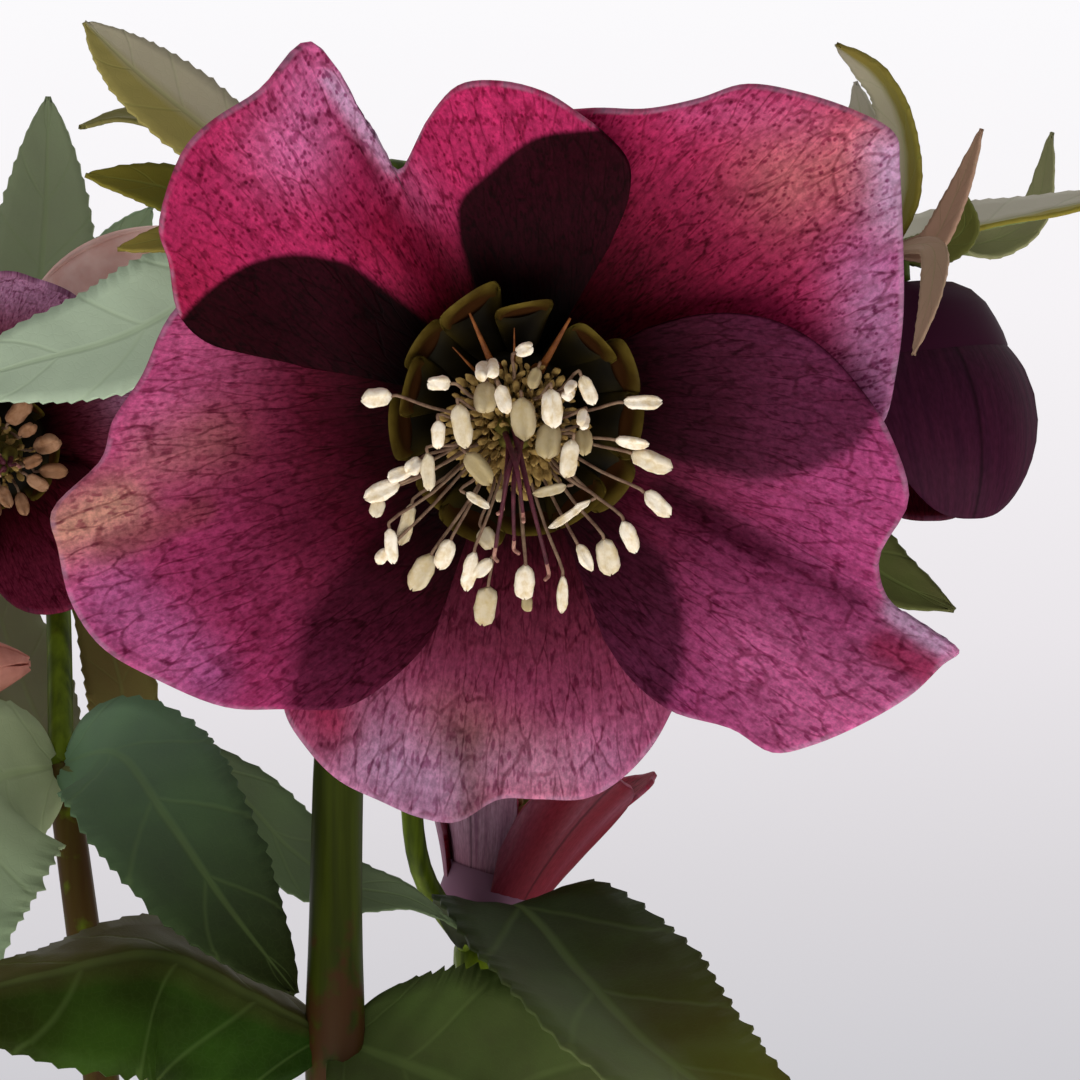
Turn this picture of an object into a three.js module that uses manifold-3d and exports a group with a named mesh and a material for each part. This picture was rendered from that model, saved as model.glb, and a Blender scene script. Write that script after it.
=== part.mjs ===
// A hellebore in flower in a plain terracotta pot: three leafy flower stems, four blooms,
// three buds and a ring of leathery leaves that come up straight from the root.
// Millimetres, +Z up, origin at the middle of the pot's underside. The main bloom faces -Y.

import * as THREE from "three";
import { mergeVertices } from "three/addons/utils/BufferGeometryUtils.js";
import Module from "manifold-3d";

const wasm = await Module();
wasm.setup();

// ---------- driving dimensions ----------

const GAP = 0.3; // clearance between neighbouring pieces
const WELD = 1e-3; // vertices closer than this are one

const POT = { height: 140, baseRadius: 56, rimRadius: 85, rimHeight: 28, wall: 7, floor: 9, sides: 30 };
const DRAIN = { radius: 6, ring: 30, count: 3 };
const SOIL = { edge: 120, mound: 125, holeDepth: 16 };

const BLADE = 0.7; // thickness of a leaf
const SEPAL = 0.7; // thickness of a sepal
const LAYER = { main: 1.6, small: 1.1 }; // step from an outer sepal to the one over it

const RECEPTACLE = { radius: 5.6, back: -2.4, front: 4.4 };
const SEPAL_ROOT = RECEPTACLE.radius - 1.2; // how far out a sepal starts, inside the receptacle
const RING = { inner: 3.4, outer: 5.2, height: 1.4 };
const BOSS = { radius: 3.1, height: 3.4 };
const ANTHER_DROOP = 4; // how strongly the anthers hang down, against how far out they stand

// Where the flower stems stand in the soil, and their nodes, where they divide.
const STEMS = {
  main: { foot: [3, 0], radius: 3.3 },
  left: { foot: [-15, 3], radius: 2.6 },
  right: { foot: [16, 15], radius: 2.8 },
};
const LOW_NODE = [2.5, -22, 291.5];
const TOP_NODE = [1.2, -25, 370.7];
const SIDE_NODE = [56.5, -15, 368];
const LEFT_NODE = [-25.7, -5, 317.2];
const LEFT_TOP_NODE = [-29, 16, 354];
const RIGHT_NODE = [15.5, 13, 296.5];

// ---------- solids ----------

// Joins the corners that lie together and makes a solid of a closed surface.
function solidOf(geometry) {
  const bare = new THREE.BufferGeometry();
  bare.setAttribute("position", geometry.getAttribute("position"));
  bare.setIndex(geometry.getIndex());
  const welded = mergeVertices(bare, WELD);
  const vertProperties = new Float32Array(welded.getAttribute("position").array);
  const triVerts = new Uint32Array(welded.getIndex().array);
  return new wasm.Manifold(new wasm.Mesh({ numProp: 3, vertProperties, triVerts }));
}

function geometryOf(solid) {
  const mesh = solid.getMesh();
  const geometry = new THREE.BufferGeometry();
  geometry.setAttribute("position", new THREE.BufferAttribute(mesh.vertProperties, 3));
  geometry.setIndex(new THREE.BufferAttribute(mesh.triVerts, 1));
  return geometry;
}

function fuse(geometries) {
  const [first, ...others] = geometries.map(solidOf);
  return geometryOf(others.reduce((whole, next) => whole.add(next), first));
}

function cut(geometry, tools) {
  return geometryOf(tools.map(solidOf).reduce((rest, tool) => rest.subtract(tool), solidOf(geometry)));
}

function surface(points, faces) {
  const geometry = new THREE.BufferGeometry();
  geometry.setAttribute("position", new THREE.Float32BufferAttribute(points.flatMap((p) => p.toArray()), 3));
  geometry.setIndex(faces.flat());
  return geometry;
}

// Gives a sheet its thickness. A sheet is one or more strips, which share the points where they meet.
// A strip is rows of points, and its last row may be one point, its tip.
// Both faces are split into triangles alike, and a rim closes them.
function sheet(strips, thickness) {
  const points = [];
  const faces = [];
  const indexOf = (point) => {
    const known = points.findIndex((other) => other.distanceTo(point) < WELD);
    return known < 0 ? points.push(point) - 1 : known;
  };
  for (const strip of strips) {
    const rows = strip.map((row) => row.map(indexOf));
    for (const [r, row] of rows.slice(0, -1).entries()) {
      const next = rows[r + 1];
      for (let c = 0; c < row.length - 1; c += 1) {
        if (next.length === 1) {
          faces.push([row[c], row[c + 1], next[0]]);
        } else {
          faces.push([row[c], row[c + 1], next[c + 1]], [row[c], next[c + 1], next[c]]);
        }
      }
    }
  }
  const normals = points.map(() => new THREE.Vector3());
  for (const [a, b, c] of faces) {
    const along = points[b].clone().sub(points[a]);
    const normal = along.cross(points[c].clone().sub(points[a])).normalize();
    for (const corner of [a, b, c]) normals[corner].add(normal);
  }
  const offset = (side) => points.map((p, i) => {
    return p.clone().addScaledVector(normals[i].clone().normalize(), (side * thickness) / 2);
  });
  const edges = new Map();
  for (const [a, b, c] of faces) {
    for (const [from, to] of [[a, b], [b, c], [c, a]]) edges.set(`${from} ${to}`, [from, to]);
  }
  const n = points.length;
  const rim = [...edges.values()].filter(([from, to]) => !edges.has(`${to} ${from}`));
  return surface([...offset(1), ...offset(-1)], [
    ...faces,
    ...faces.map(([a, b, c]) => [a + n, c + n, b + n]),
    ...rim.flatMap(([from, to]) => [[to, from, from + n], [to, from + n, to + n]]),
  ]);
}

const vectors = (list) => list.map((p) => new THREE.Vector3(...p));

// A closed tube along a smooth line, with a radius for each of its points.
function tube(line, radii, sides) {
  const curve = new THREE.CatmullRomCurve3(vectors(line));
  let side = new THREE.Vector3(0, 0, 1).cross(curve.getTangent(0));
  if (side.length() < 0.1) side = new THREE.Vector3(1, 0, 0);
  const points = [];
  for (const [i, radius] of radii.entries()) {
    const centre = curve.getPoint(i / (radii.length - 1));
    const ahead = curve.getTangent(i / (radii.length - 1));
    side = side.clone().addScaledVector(ahead, -side.dot(ahead)).normalize();
    const up = ahead.clone().cross(side);
    for (let k = 0; k < sides; k += 1) {
      const turn = (2 * Math.PI * k) / sides;
      const corner = centre.clone().addScaledVector(side, radius * Math.cos(turn));
      points.push(corner.addScaledVector(up, radius * Math.sin(turn)));
    }
  }
  const faces = [];
  for (let i = 0; i < radii.length - 1; i += 1) {
    for (let k = 0; k < sides; k += 1) {
      const [a, b] = [i * sides + k, i * sides + ((k + 1) % sides)];
      faces.push([a, b, b + sides], [a, b + sides, a + sides]);
    }
  }
  const last = (radii.length - 1) * sides;
  for (let k = 1; k < sides - 1; k += 1) {
    faces.push([0, k + 1, k], [last, last + k, last + k + 1]);
  }
  return surface(points, faces);
}

// Turns a profile of [radius, height] pairs about the Z axis.
function turned(profile, sides) {
  const geometry = new THREE.LatheGeometry(profile.map(([r, z]) => new THREE.Vector2(r, z)), sides);
  return geometry.rotateX(Math.PI / 2);
}

// ---------- leaves ----------

// Half the width of a leaf at u, from 0 at the base to 1 at the tip, as a part of its widest:
// a stem leaf is broad near its base, a leaflet is narrow there.
const BROAD = (u) => Math.max(0.14, Math.sin(Math.PI * u ** 0.8) ** 0.75);
const NARROW = (u) => Math.max(0.12, Math.sin(Math.PI * u ** 0.95) ** 1.6);

// The rows of a toothed leaf along a curved midrib. The face is the way its upper side looks, the fold is
// how far the margins stand up above the midrib, and every other row ends in the tip of a tooth.
function leafRows({ rib, face, width, rows = 5, fold = 0.28, teeth = 0.08, outline = BROAD }) {
  const curve = new THREE.CatmullRomCurve3(vectors(rib));
  const towards = new THREE.Vector3(...face);
  const strip = Array.from({ length: rows }, (_, i) => {
    const u = i / rows;
    const middle = curve.getPoint(u);
    const ahead = curve.getTangent(u);
    const side = ahead.clone().cross(towards).normalize();
    const up = side.clone().cross(ahead);
    const half = width * outline(u) * (i % 2 ? 1 + teeth : 1 - teeth);
    const margin = (way) => middle.clone().addScaledVector(side, way * half).addScaledVector(up, fold * half);
    return [margin(-1), middle, margin(1)];
  });
  return [...strip, [curve.getPoint(1)]];
}

const blade = (leaf) => sheet([leafRows(leaf)], BLADE);

// ---------- flowers ----------

// A bloom is modelled in its own frame: Z is the way it faces, Y is its upper side.
// Its sepals lie on a cup, part of a sphere. A place on the cup is given flat, as if it was pressed:
// x and y, with the true length along the sepal kept. An inset moves it off the cup to the inside.
// Here, rise is the angle at which the cup rises at that place.
function onCup(cup, x, y, inset) {
  const length = Math.hypot(x, y);
  const turn = Math.atan2(y, x);
  const { rise, out, height } = cup.profile(length);
  const inside = inset + cup.ruffle(length, turn);
  const reach = out - inside * Math.sin(rise);
  return new THREE.Vector3(reach * Math.cos(turn), reach * Math.sin(turn), height + inside * Math.cos(rise));
}

// A round cup starts flat at its foot and rises ever more steeply.
function roundCup(sphere) {
  return (length) => {
    const rise = length / sphere;
    return { rise, out: sphere * Math.sin(rise), height: sphere * (1 - Math.cos(rise)) };
  };
}

// A funnel starts steeply at its foot and bends outwards, to rise less at its mouth.
function funnel({ rise: first, bend }) {
  const foot = SEPAL_ROOT;
  return (length) => {
    const rise = first - bend * (length - foot);
    const out = foot + (Math.sin(first) - Math.sin(rise)) / bend;
    return { rise, out, height: (Math.cos(rise) - Math.cos(first)) / bend };
  };
}

// A sepal fans out from a short arc inside the receptacle to its margin, anticlockwise.
function sepal(cup, { margin, from, to, layer }) {
  const steps = [0, 0.36, 0.7, 1];
  const rows = steps.map((t) => margin.map(([x, y], i) => {
    const turn = THREE.MathUtils.degToRad(from + ((to - from) * i) / (margin.length - 1));
    const flatX = SEPAL_ROOT * Math.cos(turn) * (1 - t) + x * t;
    const flatY = SEPAL_ROOT * Math.sin(turn) * (1 - t) + y * t;
    return onCup(cup, flatX, flatY, layer * cup.layer);
  }));
  return sheet([rows.map((row) => row.reverse())], SEPAL);
}

// The short top of the flower stalk that the sepals grow from.
function receptacle() {
  const { radius, back, front } = RECEPTACLE;
  return turned([[0, back], [radius * 0.6, back], [radius, back / 4], [radius, front], [0, front]], 8);
}

// The ring of small green tubes inside the sepals, which hold the nectar.
function nectaries({ count, reach, mouth, sides }) {
  const floor = RECEPTACLE.front + GAP;
  const { inner, outer, height } = RING;
  const foot = turned([[inner, floor], [outer, floor], [outer, floor + height], [inner, floor + height],
    [inner, floor]], 10);
  const tubes = Array.from({ length: count }, (_, k) => {
    const turn = (2 * Math.PI * k) / count;
    const at = (out, up) => [out * Math.cos(turn), out * Math.sin(turn), floor + up];
    const line = [at(outer - 1, 0.7), at((outer + reach) / 2, 1.5), at(reach, 3.7)];
    return tube(line, [0.5, mouth * 0.75, mouth], sides);
  });
  return fuse([foot, ...tubes]);
}

// A stamen rises from the boss, arches over and ends in a fat anther that hangs outwards.
// Its root is at one of three heights, so that the crowded roots stand clear of each other.
function stamen(tip, { length, radius }, k) {
  const end = new THREE.Vector3(...tip);
  const turn = Math.atan2(end.y, end.x);
  const out = BOSS.radius - 0.9;
  const rise = RECEPTACLE.front + GAP + BOSS.height - 0.8 - (k % 3) * 0.8;
  const root = new THREE.Vector3(out * Math.cos(turn), out * Math.sin(turn), rise);
  const hang = new THREE.Vector3(end.x, end.y - ANTHER_DROOP, -ANTHER_DROOP).normalize();
  const neck = end.clone().addScaledVector(hang, -length);
  const bend = root.clone().lerp(neck, 0.5);
  bend.z += 1.6;
  const swell = (part) => neck.clone().lerp(end, part);
  const line = [root, bend, neck, swell(0.4), end];
  return tube(line.map((p) => p.toArray()), [0.36, 0.3, 0.28, radius, radius * 0.5], 3);
}

function stamens(tips, anther) {
  const floor = RECEPTACLE.front + GAP;
  const { radius, height } = BOSS;
  const boss = turned([[0, floor], [radius, floor], [radius * 0.9, floor + height], [0, floor + height]], 9);
  return fuse([boss, ...tips.map((tip, k) => stamen(tip, anther, k))]);
}

// The seed pods of the coming fruit, side by side in the middle, each with its long style.
function pistil(styleTips) {
  const floor = RECEPTACLE.front + BOSS.height + 2 * GAP;
  const foot = turned([[0, floor], [1.2, floor], [1.4, floor + 1.4], [0, floor + 1.4]], 8);
  const pods = styleTips.map(([x, y, z], k) => {
    const turn = (2 * Math.PI * (k + 0.25)) / styleTips.length;
    const at = (out, up) => [out * Math.cos(turn), out * Math.sin(turn), floor + up];
    const line = [at(0.7, 0.6), at(0.95, 2.4), at(0.7, 5), [x * 0.4, y * 0.3, z], [x, y, z - 0.4]];
    return tube(line, [0.5, 0.8, 0.34, 0.3, 0.34], 3);
  });
  return fuse([foot, ...pods]);
}

// The margin of a plain sepal that points along the given angle: broad, narrow at its foot, with a tip.
// Half is half the angle that it spans, and tip is the part of its length that its point stands out.
function plainMargin(angle, { length, half = 44, tip = 0.07 }) {
  const steps = 6;
  return Array.from({ length: steps + 1 }, (_, i) => {
    const away = -half + (2 * half * i) / steps;
    const part = Math.abs(away) / half;
    const reach = length * (1 - tip - 0.5 * part ** 3 + tip * Math.exp(-(((away * 9) / half) ** 2)));
    const turn = THREE.MathUtils.degToRad(angle + away);
    return [reach * Math.cos(turn), reach * Math.sin(turn)];
  });
}

// Two sepals lie outside, two inside, and one has one margin in and one out.
const SEPAL_LAYERS = [0, 2, 0, 2, 1];

function plainSepals(bloom) {
  const foot = (bloom.half ?? 44) - 4;
  return SEPAL_LAYERS.map((layer, k) => {
    const angle = 90 + 72 * k;
    return { margin: plainMargin(angle, bloom), from: angle - foot, to: angle + foot, layer };
  });
}

// Tips of stamens spread evenly by the golden angle between two radii.
function spreadTips(count, near, far, height) {
  return Array.from({ length: count }, (_, k) => {
    const out = near + (far - near) * Math.sqrt((k + 0.5) / count);
    const turn = k * Math.PI * (3 - Math.sqrt(5));
    return [out * Math.cos(turn), out * Math.sin(turn), height - out * 0.15];
  });
}

// ---------- the main bloom ----------

// The two upper folds of the main bloom run out along these angles, in degrees.
const CREASES = [{ angle: 116, depth: 4.5 }, { angle: -27, depth: 4 }];
const CREASE_HALF_WIDTH = 8;

// The ruffled surface: long waves that grow towards the margin, and two creases that dip to the back.
function mainRuffle(length, turn) {
  const degrees = THREE.MathUtils.radToDeg(turn);
  const waves = 1.1 * (length / 40) ** 2 * Math.sin(5 * turn + 0.8);
  const rise = THREE.MathUtils.smoothstep(length, 10, 28);
  const dips = CREASES.map(({ angle, depth }) => {
    return depth * rise * Math.exp(-(((degrees - angle) / CREASE_HALF_WIDTH) ** 2));
  });
  return waves - dips[0] - dips[1];
}

const MAIN_CUP = { profile: roundCup(80), layer: LAYER.main, ruffle: mainRuffle };

// The margins run anticlockwise as the bloom is seen from the front.
const MAIN_SEPALS = [
  {
    // upper left: lies over both its neighbours, and is notched by its crease
    layer: 2, from: 62, to: 166,
    margin: [[8.2, 16.5], [10.5, 21.5], [11, 25], [9.5, 28], [7, 30], [3, 32], [-1.5, 33], [-5, 32.5],
      [-7.5, 29.3], [-10.2, 21.6], [-12.6, 25.4], [-14.6, 29.2], [-17.9, 34.2], [-23, 32.2], [-27.6, 30.2],
      [-31, 27.4], [-33.5, 20.5], [-32.5, 16.5], [-31.5, 11], [-29, 8.2], [-25, 6.6], [-19.5, 5]],
  },
  {
    // upper right: under both its neighbours
    layer: 0, from: -22, to: 112,
    margin: [[22.5, -6], [29, -4], [33.5, -0.5], [35, 5], [35.5, 11.5], [34.5, 24], [34, 27], [30.5, 29],
      [25.5, 30.5], [20.5, 31], [16.5, 29.5], [12, 28.5], [7, 28.5], [2, 27.5], [-2, 24], [-5, 20.5],
      [-5, 16.5]],
  },
  {
    // lower right: over both its neighbours, creased, with a long turned tip
    layer: 2, from: -66, to: 38,
    margin: [[8.5, -21.5], [11, -25], [15, -28], [21, -29.5], [25, -31.5], [29, -30.5], [33.5, -28],
      [37, -25], [39.2, -22], [40.6, -20.7], [37, -18.6], [33.8, -16.4], [33.4, -13.4], [37.3, -6.5],
      [35.5, 0], [33, 3.5], [29, 7.5], [25, 9.5], [20.5, 10], [16.5, 9.5], [12.5, 7.5]],
  },
  {
    // bottom: under both its neighbours, with a blunt tip
    layer: 0, from: -150, to: -42,
    margin: [[-19.5, -18], [-21, -23], [-21.5, -27.5], [-19.5, -31], [-16.5, -34], [-12.5, -36], [-9, -37.5],
      [-5.5, -38], [-1.5, -36], [2, -36], [6.5, -36], [9.5, -34.5], [12.5, -31.5], [14.5, -28], [16, -24],
      [16, -19.5], [14.5, -14]],
  },
  {
    // left: over the bottom sepal and under the upper one, with its tip to the side
    layer: 1, from: 120, to: 248,
    margin: [[-15.5, 15], [-20.5, 15.5], [-25, 14.5], [-31.5, 9.5], [-34.5, 4.5], [-37, 0.5], [-38, -3],
      [-43, -7.5], [-42.5, -11], [-41.5, -16], [-39, -20.5], [-34, -24], [-27.5, -27], [-22, -27.5],
      [-16, -27.5], [-11.5, -25], [-8, -21.5], [-6.5, -18]],
  },
];

// Where the anthers of the main bloom hang, most of them below the middle.
const MAIN_ANTHERS = [
  [-12, 3.5], [-6.5, 5], [-2, 6.5], [1, 8.5], [-5, 1.2], [2.6, 4.8], [5, 3], [7.5, 4.6], [11.5, 3],
  [6.5, -1.6], [8.2, 0.6], [12, -2.4], [12.5, -6], [10, -9], [8, -11.2], [4.5, -14.5], [1, -13],
  [-2.5, -15.5],
  [-4.4, -11.6], [-8.5, -12.5], [-11.5, -10], [-9.2, -7], [-12, -4.6], [-8.2, -2.4], [-4, -6.4], [5, -7],
];
const antherHeight = (x, y) => 15.6 - 0.16 * Math.hypot(x, y); // the outer ones stand lower
const MAIN_STYLES = [[0, -9, 18], [3, -11.5, 17.5], [0.8, -6, 18.6], [-1.8, -7, 18]];
const SMALL_STYLES = [[1, 0, 14.5], [-0.6, 0.9, 14.5], [-0.6, -0.9, 14.5]];

const MAIN_ANTHER = { length: 3.4, radius: 0.95 };
const SMALL_ANTHER = { length: 2.6, radius: 0.85 };

// ---------- stems and their leaves ----------

const BUD_NECK = 1.2; // a bud's foot is this far behind its place

// A bud: sepals that are still folded over each other, on a short neck.
function bud({ length, radius, sepals = 3 }) {
  const lobes = Array.from({ length: sepals }, (_, k) => {
    const turn = (2 * Math.PI * k) / sepals;
    const at = (out, up) => [out * Math.cos(turn), out * Math.sin(turn), up];
    const swell = radius * 0.42;
    const line = [at(0.2, -BUD_NECK), at(swell, length * 0.22), at(swell, length * 0.6), at(0.2, length)];
    return tube(line, [1, radius * 0.55, radius * 0.5, 0.4], 4);
  });
  return fuse(lobes);
}

// Where the foot of each bloom and bud is, the way it faces and how it is turned about that way.
// A small bloom also has the length of its sepals and the radius of its cup, which is smaller when it is
// less open. The lower bloom is a funnel of narrower sepals that don't overlap.
const MAIN_BLOOM = { place: [20, -50, 352], direction: [0, -1, -0.268] };
const RIGHT_BLOOM = {
  place: [57.5, -14, 362.4], direction: [0.1, 0, -1], turn: 11, length: 29, tip: 0, cup: 12.8,
};
const LEFT_BLOOM = { place: [-34.5, 6, 350], direction: [0.25, -0.95, -0.2], length: 26, cup: 20 };
const LOWER_BLOOM = {
  place: [16.8, 18, 300.8], direction: [0.34, 0, 0.94], turn: -17, length: 25, half: 32, tip: 0.03,
  funnel: { rise: 1.13, bend: 0.012 }, layer: 0,
};
const BUD_UPPER = { place: [-27.4, 10, 365], direction: [0.9, 0, 0.42], length: 15, radius: 3.8 };
const BUD_LOWER = { place: [-44.6, -6, 326], direction: [1, 0, 0.08], length: 16, radius: 4.2 };
const BUD_HIDDEN = { place: [10.2, 2.4, 329.4], direction: [0.2, -0.3, 1], length: 12, radius: 3.4 };

// The last two points of a stalk, straight behind the bloom or bud that it carries.
function stalkTop({ place, direction }, back) {
  const behind = new THREE.Vector3(...direction).normalize().negate();
  const at = (far) => new THREE.Vector3(...place).addScaledVector(behind, far).toArray();
  return [at(back + GAP + 3), at(back + GAP)];
}
const bloomStalk = (bloom) => stalkTop(bloom, -RECEPTACLE.back);
const budStalk = (bloom) => stalkTop(bloom, BUD_NECK);

// The leaves on the main stem: two at the low node, a group at the top node behind the main bloom,
// a group at the node of the side branch, and one that hangs from the side branch.
const MAIN_BRACTS = [
  { rib: [LOW_NODE, [-5.4, -26, 296.3], [-13.7, -30, 300], [-24.2, -35, 296], [-37, -38, 288.5]],
    face: [0, -0.7, 0.7], width: 10.5, rows: 9, fold: -0.75 },
  { rib: [LOW_NODE, [9.9, -24, 288.9], [19.9, -20, 283.9], [32.6, -16, 274.1], [42.5, -14, 262.3]],
    face: [0.1, -0.8, 0.6], width: 12, rows: 9 },
  { rib: [TOP_NODE, [-9, -27, 378.4], [-16.3, -28, 384.3], [-21, -28, 388.8]],
    face: [0.1, -1, 0.25], width: 3.9, rows: 6 },
  { rib: [TOP_NODE, [-10, -22.5, 375], [-17, -21, 378.6], [-22.3, -20, 379.6]],
    face: [0, -0.4, 1], width: 2.6 },
  { rib: [TOP_NODE, [-8, -20, 371.6], [-15, -18, 374], [-22, -17, 375.2]], face: [0, -0.9, 0.5], width: 3 },
  { rib: [TOP_NODE, [-8, -24, 368.6], [-13, -23.5, 368.6], [-18.3, -23, 367.6]],
    face: [0, -0.9, 0.5], width: 2, rows: 4 },
  { rib: [TOP_NODE, [-9, -20, 364.5], [-18, -17, 359.6], [-28, -13, 357], [-38, -11, 354.4]],
    face: [0, -1, 0.35], width: 6.2, rows: 9, fold: 0.15 },
  { rib: [SIDE_NODE, [58, -17, 374], [57.4, -19, 380], [55, -21, 384.2], [50.8, -22, 387.4]],
    face: [-0.85, -0.55, 0], width: 3, rows: 7 },
  { rib: [SIDE_NODE, [55, -11, 377], [53.5, -10, 385]], face: [-0.5, -0.8, 0], width: 2.4, rows: 4 },
  { rib: [SIDE_NODE, [60.2, -18.5, 368.4], [62.7, -18.5, 373], [65.2, -18, 379.6]],
    face: [-0.6, -0.8, 0.1], width: 1.5 },
  { rib: [SIDE_NODE, [60, -22.5, 367.6], [59.4, -27.5, 363], [57.6, -29.5, 357.2]],
    face: [-0.2, -0.8, 0.6], width: 1.3 },
  { rib: [SIDE_NODE, [61, -11, 368.4], [64.3, -9.5, 370.5], [64, -9, 374.5]],
    face: [-0.3, -1, 0], width: 1.9, rows: 4 },
  { rib: [SIDE_NODE, [61, -4, 369.8], [69, 0, 371.2], [77, 3, 373], [89, 6, 374.6]],
    face: [0, -0.3, 0.95], width: 4.5, rows: 8 },
  { rib: [SIDE_NODE, [66, 3, 369.4], [73, 9, 373], [75.5, 12, 382]], face: [-0.5, -0.9, 0], width: 2.2 },
  { rib: [[46, -10.5, 367.2], [45, 4, 358], [49, 7, 345], [56, 3, 337], [64, -2, 332.6]],
    face: [0.1, -1, 0.1], width: 5.4, rows: 7 },
];

// The leaves of the left stem: five at its low node and two near its bloom.
const LEFT_BRACTS = [
  { rib: [LEFT_NODE, [-19, -16, 318.6], [-13.5, -26, 313.2], [-7, -32.5, 305], [-0.5, -36, 297.4]],
    face: [0.1, -0.9, 0.3], width: 7.6, rows: 9, fold: 0.15 },
  { rib: [LEFT_NODE, [-16.2, -9, 319.4], [-7.8, -11, 314.7], [-2.4, -12, 309.8], [3, -13, 306.6],
      [9.4, -13, 304.8], [14.8, -13, 301.2]],
    face: [0.1, -0.95, 0.2], width: 3.1, rows: 8, outline: NARROW },
  { rib: [LEFT_NODE, [-33, -14, 315], [-37, -19, 306], [-36.5, -22, 294]],
    face: [0.1, -1, 0.1], width: 9.6, rows: 7, fold: 0.1 },
  { rib: [LEFT_NODE, [-30, 5, 323], [-34, 14, 331], [-38, 21, 341]], face: [0.3, -0.9, 0.2], width: 4.8 },
  { rib: [LEFT_NODE, [-19.8, -11, 319], [-15.4, -13, 320.2], [-10.8, -15, 317.6]],
    face: [0.1, -0.9, 0.5], width: 3 },
  { rib: [LEFT_TOP_NODE, [-31, 24, 365], [-31, 29, 376], [-31, 31, 387.6]],
    face: [0.1, -1, 0.2], width: 5.6, rows: 7 },
  { rib: [LEFT_TOP_NODE, [-26, 20, 363], [-22.5, 21.5, 370], [-19, 22, 375]],
    face: [0.4, -0.9, 0.1], width: 3.6 },
];

// The leaves of the right stem, all at one node under its bloom. The first arches forward.
const RIGHT_BRACTS = [
  { rib: [RIGHT_NODE, [19.7, -2, 302.9], [27.1, -18, 298.3], [33.1, -31, 293.9], [38.3, -41, 290.4],
      [44.7, -50, 285.6]],
    face: [0.15, -0.6, 0.8], width: 7.2, rows: 9 },
  { rib: [RIGHT_NODE, [17, 24, 292], [18, 34, 290], [19, 42, 284]], face: [0, -0.8, 0.6], width: 3.6 },
  { rib: [RIGHT_NODE, [22, 20, 292.5], [28, 25, 294], [34, 28, 293]], face: [0, -0.8, 0.6], width: 3.4 },
];

// A stalk that thins evenly from its first point to its last.
function stalk({ line, thick, thin, sides = 6 }) {
  const radii = line.map((point, i) => thick + ((thin - thick) * i) / (line.length - 1));
  return tube(line, radii, sides);
}

// A leafy stem: the stem and its branches, with each leaf sunk in the stem at its node.
const leafyStem = (stalks, bracts) => fuse([...stalks.map(stalk), ...bracts.map(blade)]);

// The foot of a stem stands straight in its hole in the soil.
const STEM_FOOT = SOIL.edge - SOIL.holeDepth + GAP;
const footOf = ([x, y]) => [[x, y, STEM_FOOT], [x, y, SOIL.edge + 4]];

// The leaves from the root: the way each points, how far out its hub is and how high, and its size.
const ROOT_LEAVES = [
  { azimuth: -121, reach: 94, height: 226, size: 1 },
  { azimuth: -60, reach: 100, height: 240, size: 1.04 },
  { azimuth: -1, reach: 92, height: 222, size: 0.98 },
  { azimuth: 60, reach: 98, height: 242, size: 1.02 },
  { azimuth: 120, reach: 94, height: 224, size: 1 },
  { azimuth: 179, reach: 98, height: 238, size: 1.02 },
];
const ROOT_LEAF_FOOT = { ring: 30, radius: 2.6 }; // the stalks stand on a circle in the soil
const LEAFLETS = [
  { turn: -111, length: 54, width: 7.2 },
  { turn: -74, length: 72, width: 8.6 },
  { turn: -37, length: 84, width: 10 },
  { turn: 0, length: 88, width: 10.4 },
  { turn: 37, length: 84, width: 10 },
  { turn: 74, length: 72, width: 8.6 },
  { turn: 111, length: 54, width: 7.2 },
];
const LEAFLET_STEP = 37; // degrees from one leaflet to the next
const LEAFLET_ARCH = [[0, 0], [0.3, 4], [0.65, 1], [1, -16]]; // part of its length, and how high it is there
const WEB = 4; // the leaflets are joined as far out as this

// One leaf from the root: a long stalk, and leaflets that fan out from its top like fingers and droop.
// Neighbouring leaflets share the corner of the web between them, so that the blade is one sheet.
// The leaf is modelled pointing along +X and turned to its place round the clump.
function rootLeaf({ azimuth, reach, height, size }) {
  const { ring, radius } = ROOT_LEAF_FOOT;
  const halfWay = [(ring + reach) * 0.62, 0, height - 30];
  const line = [...footOf([ring, 0]), [ring + 4, 0, 150], [ring + 18, 0, 182], halfWay,
    [reach - 7, 0, height - 13], [reach, 0, height + 1.4]];
  const place = (degrees, out, up) => {
    const turn = THREE.MathUtils.degToRad(degrees);
    return [reach + out * Math.cos(turn), out * Math.sin(turn), height + up];
  };
  const strips = LEAFLETS.map(({ turn, length, width }) => {
    const long = length * size;
    const rib = LEAFLET_ARCH.map(([part, up]) => place(turn, part * long, up * size));
    const rows = leafRows({ rib, face: [0.1, 0, 1], width: width * size, fold: 0.2, outline: NARROW });
    const [before, after] = vectors([-1, 1].map((way) => place(turn + (way * LEAFLET_STEP) / 2, WEB, 0)));
    rows[0] = [before, rows[0][1], after];
    return rows;
  });
  const leaf = fuse([stalk({ line, thick: radius, thin: 1.9, sides: 5 }), sheet(strips, BLADE)]);
  return leaf.rotateZ(THREE.MathUtils.degToRad(azimuth));
}

// ---------- pot and soil ----------

const wallRadius = (z) => POT.baseRadius + ((POT.rimRadius - 4.5 - POT.baseRadius) * z) / POT.height;

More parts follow.
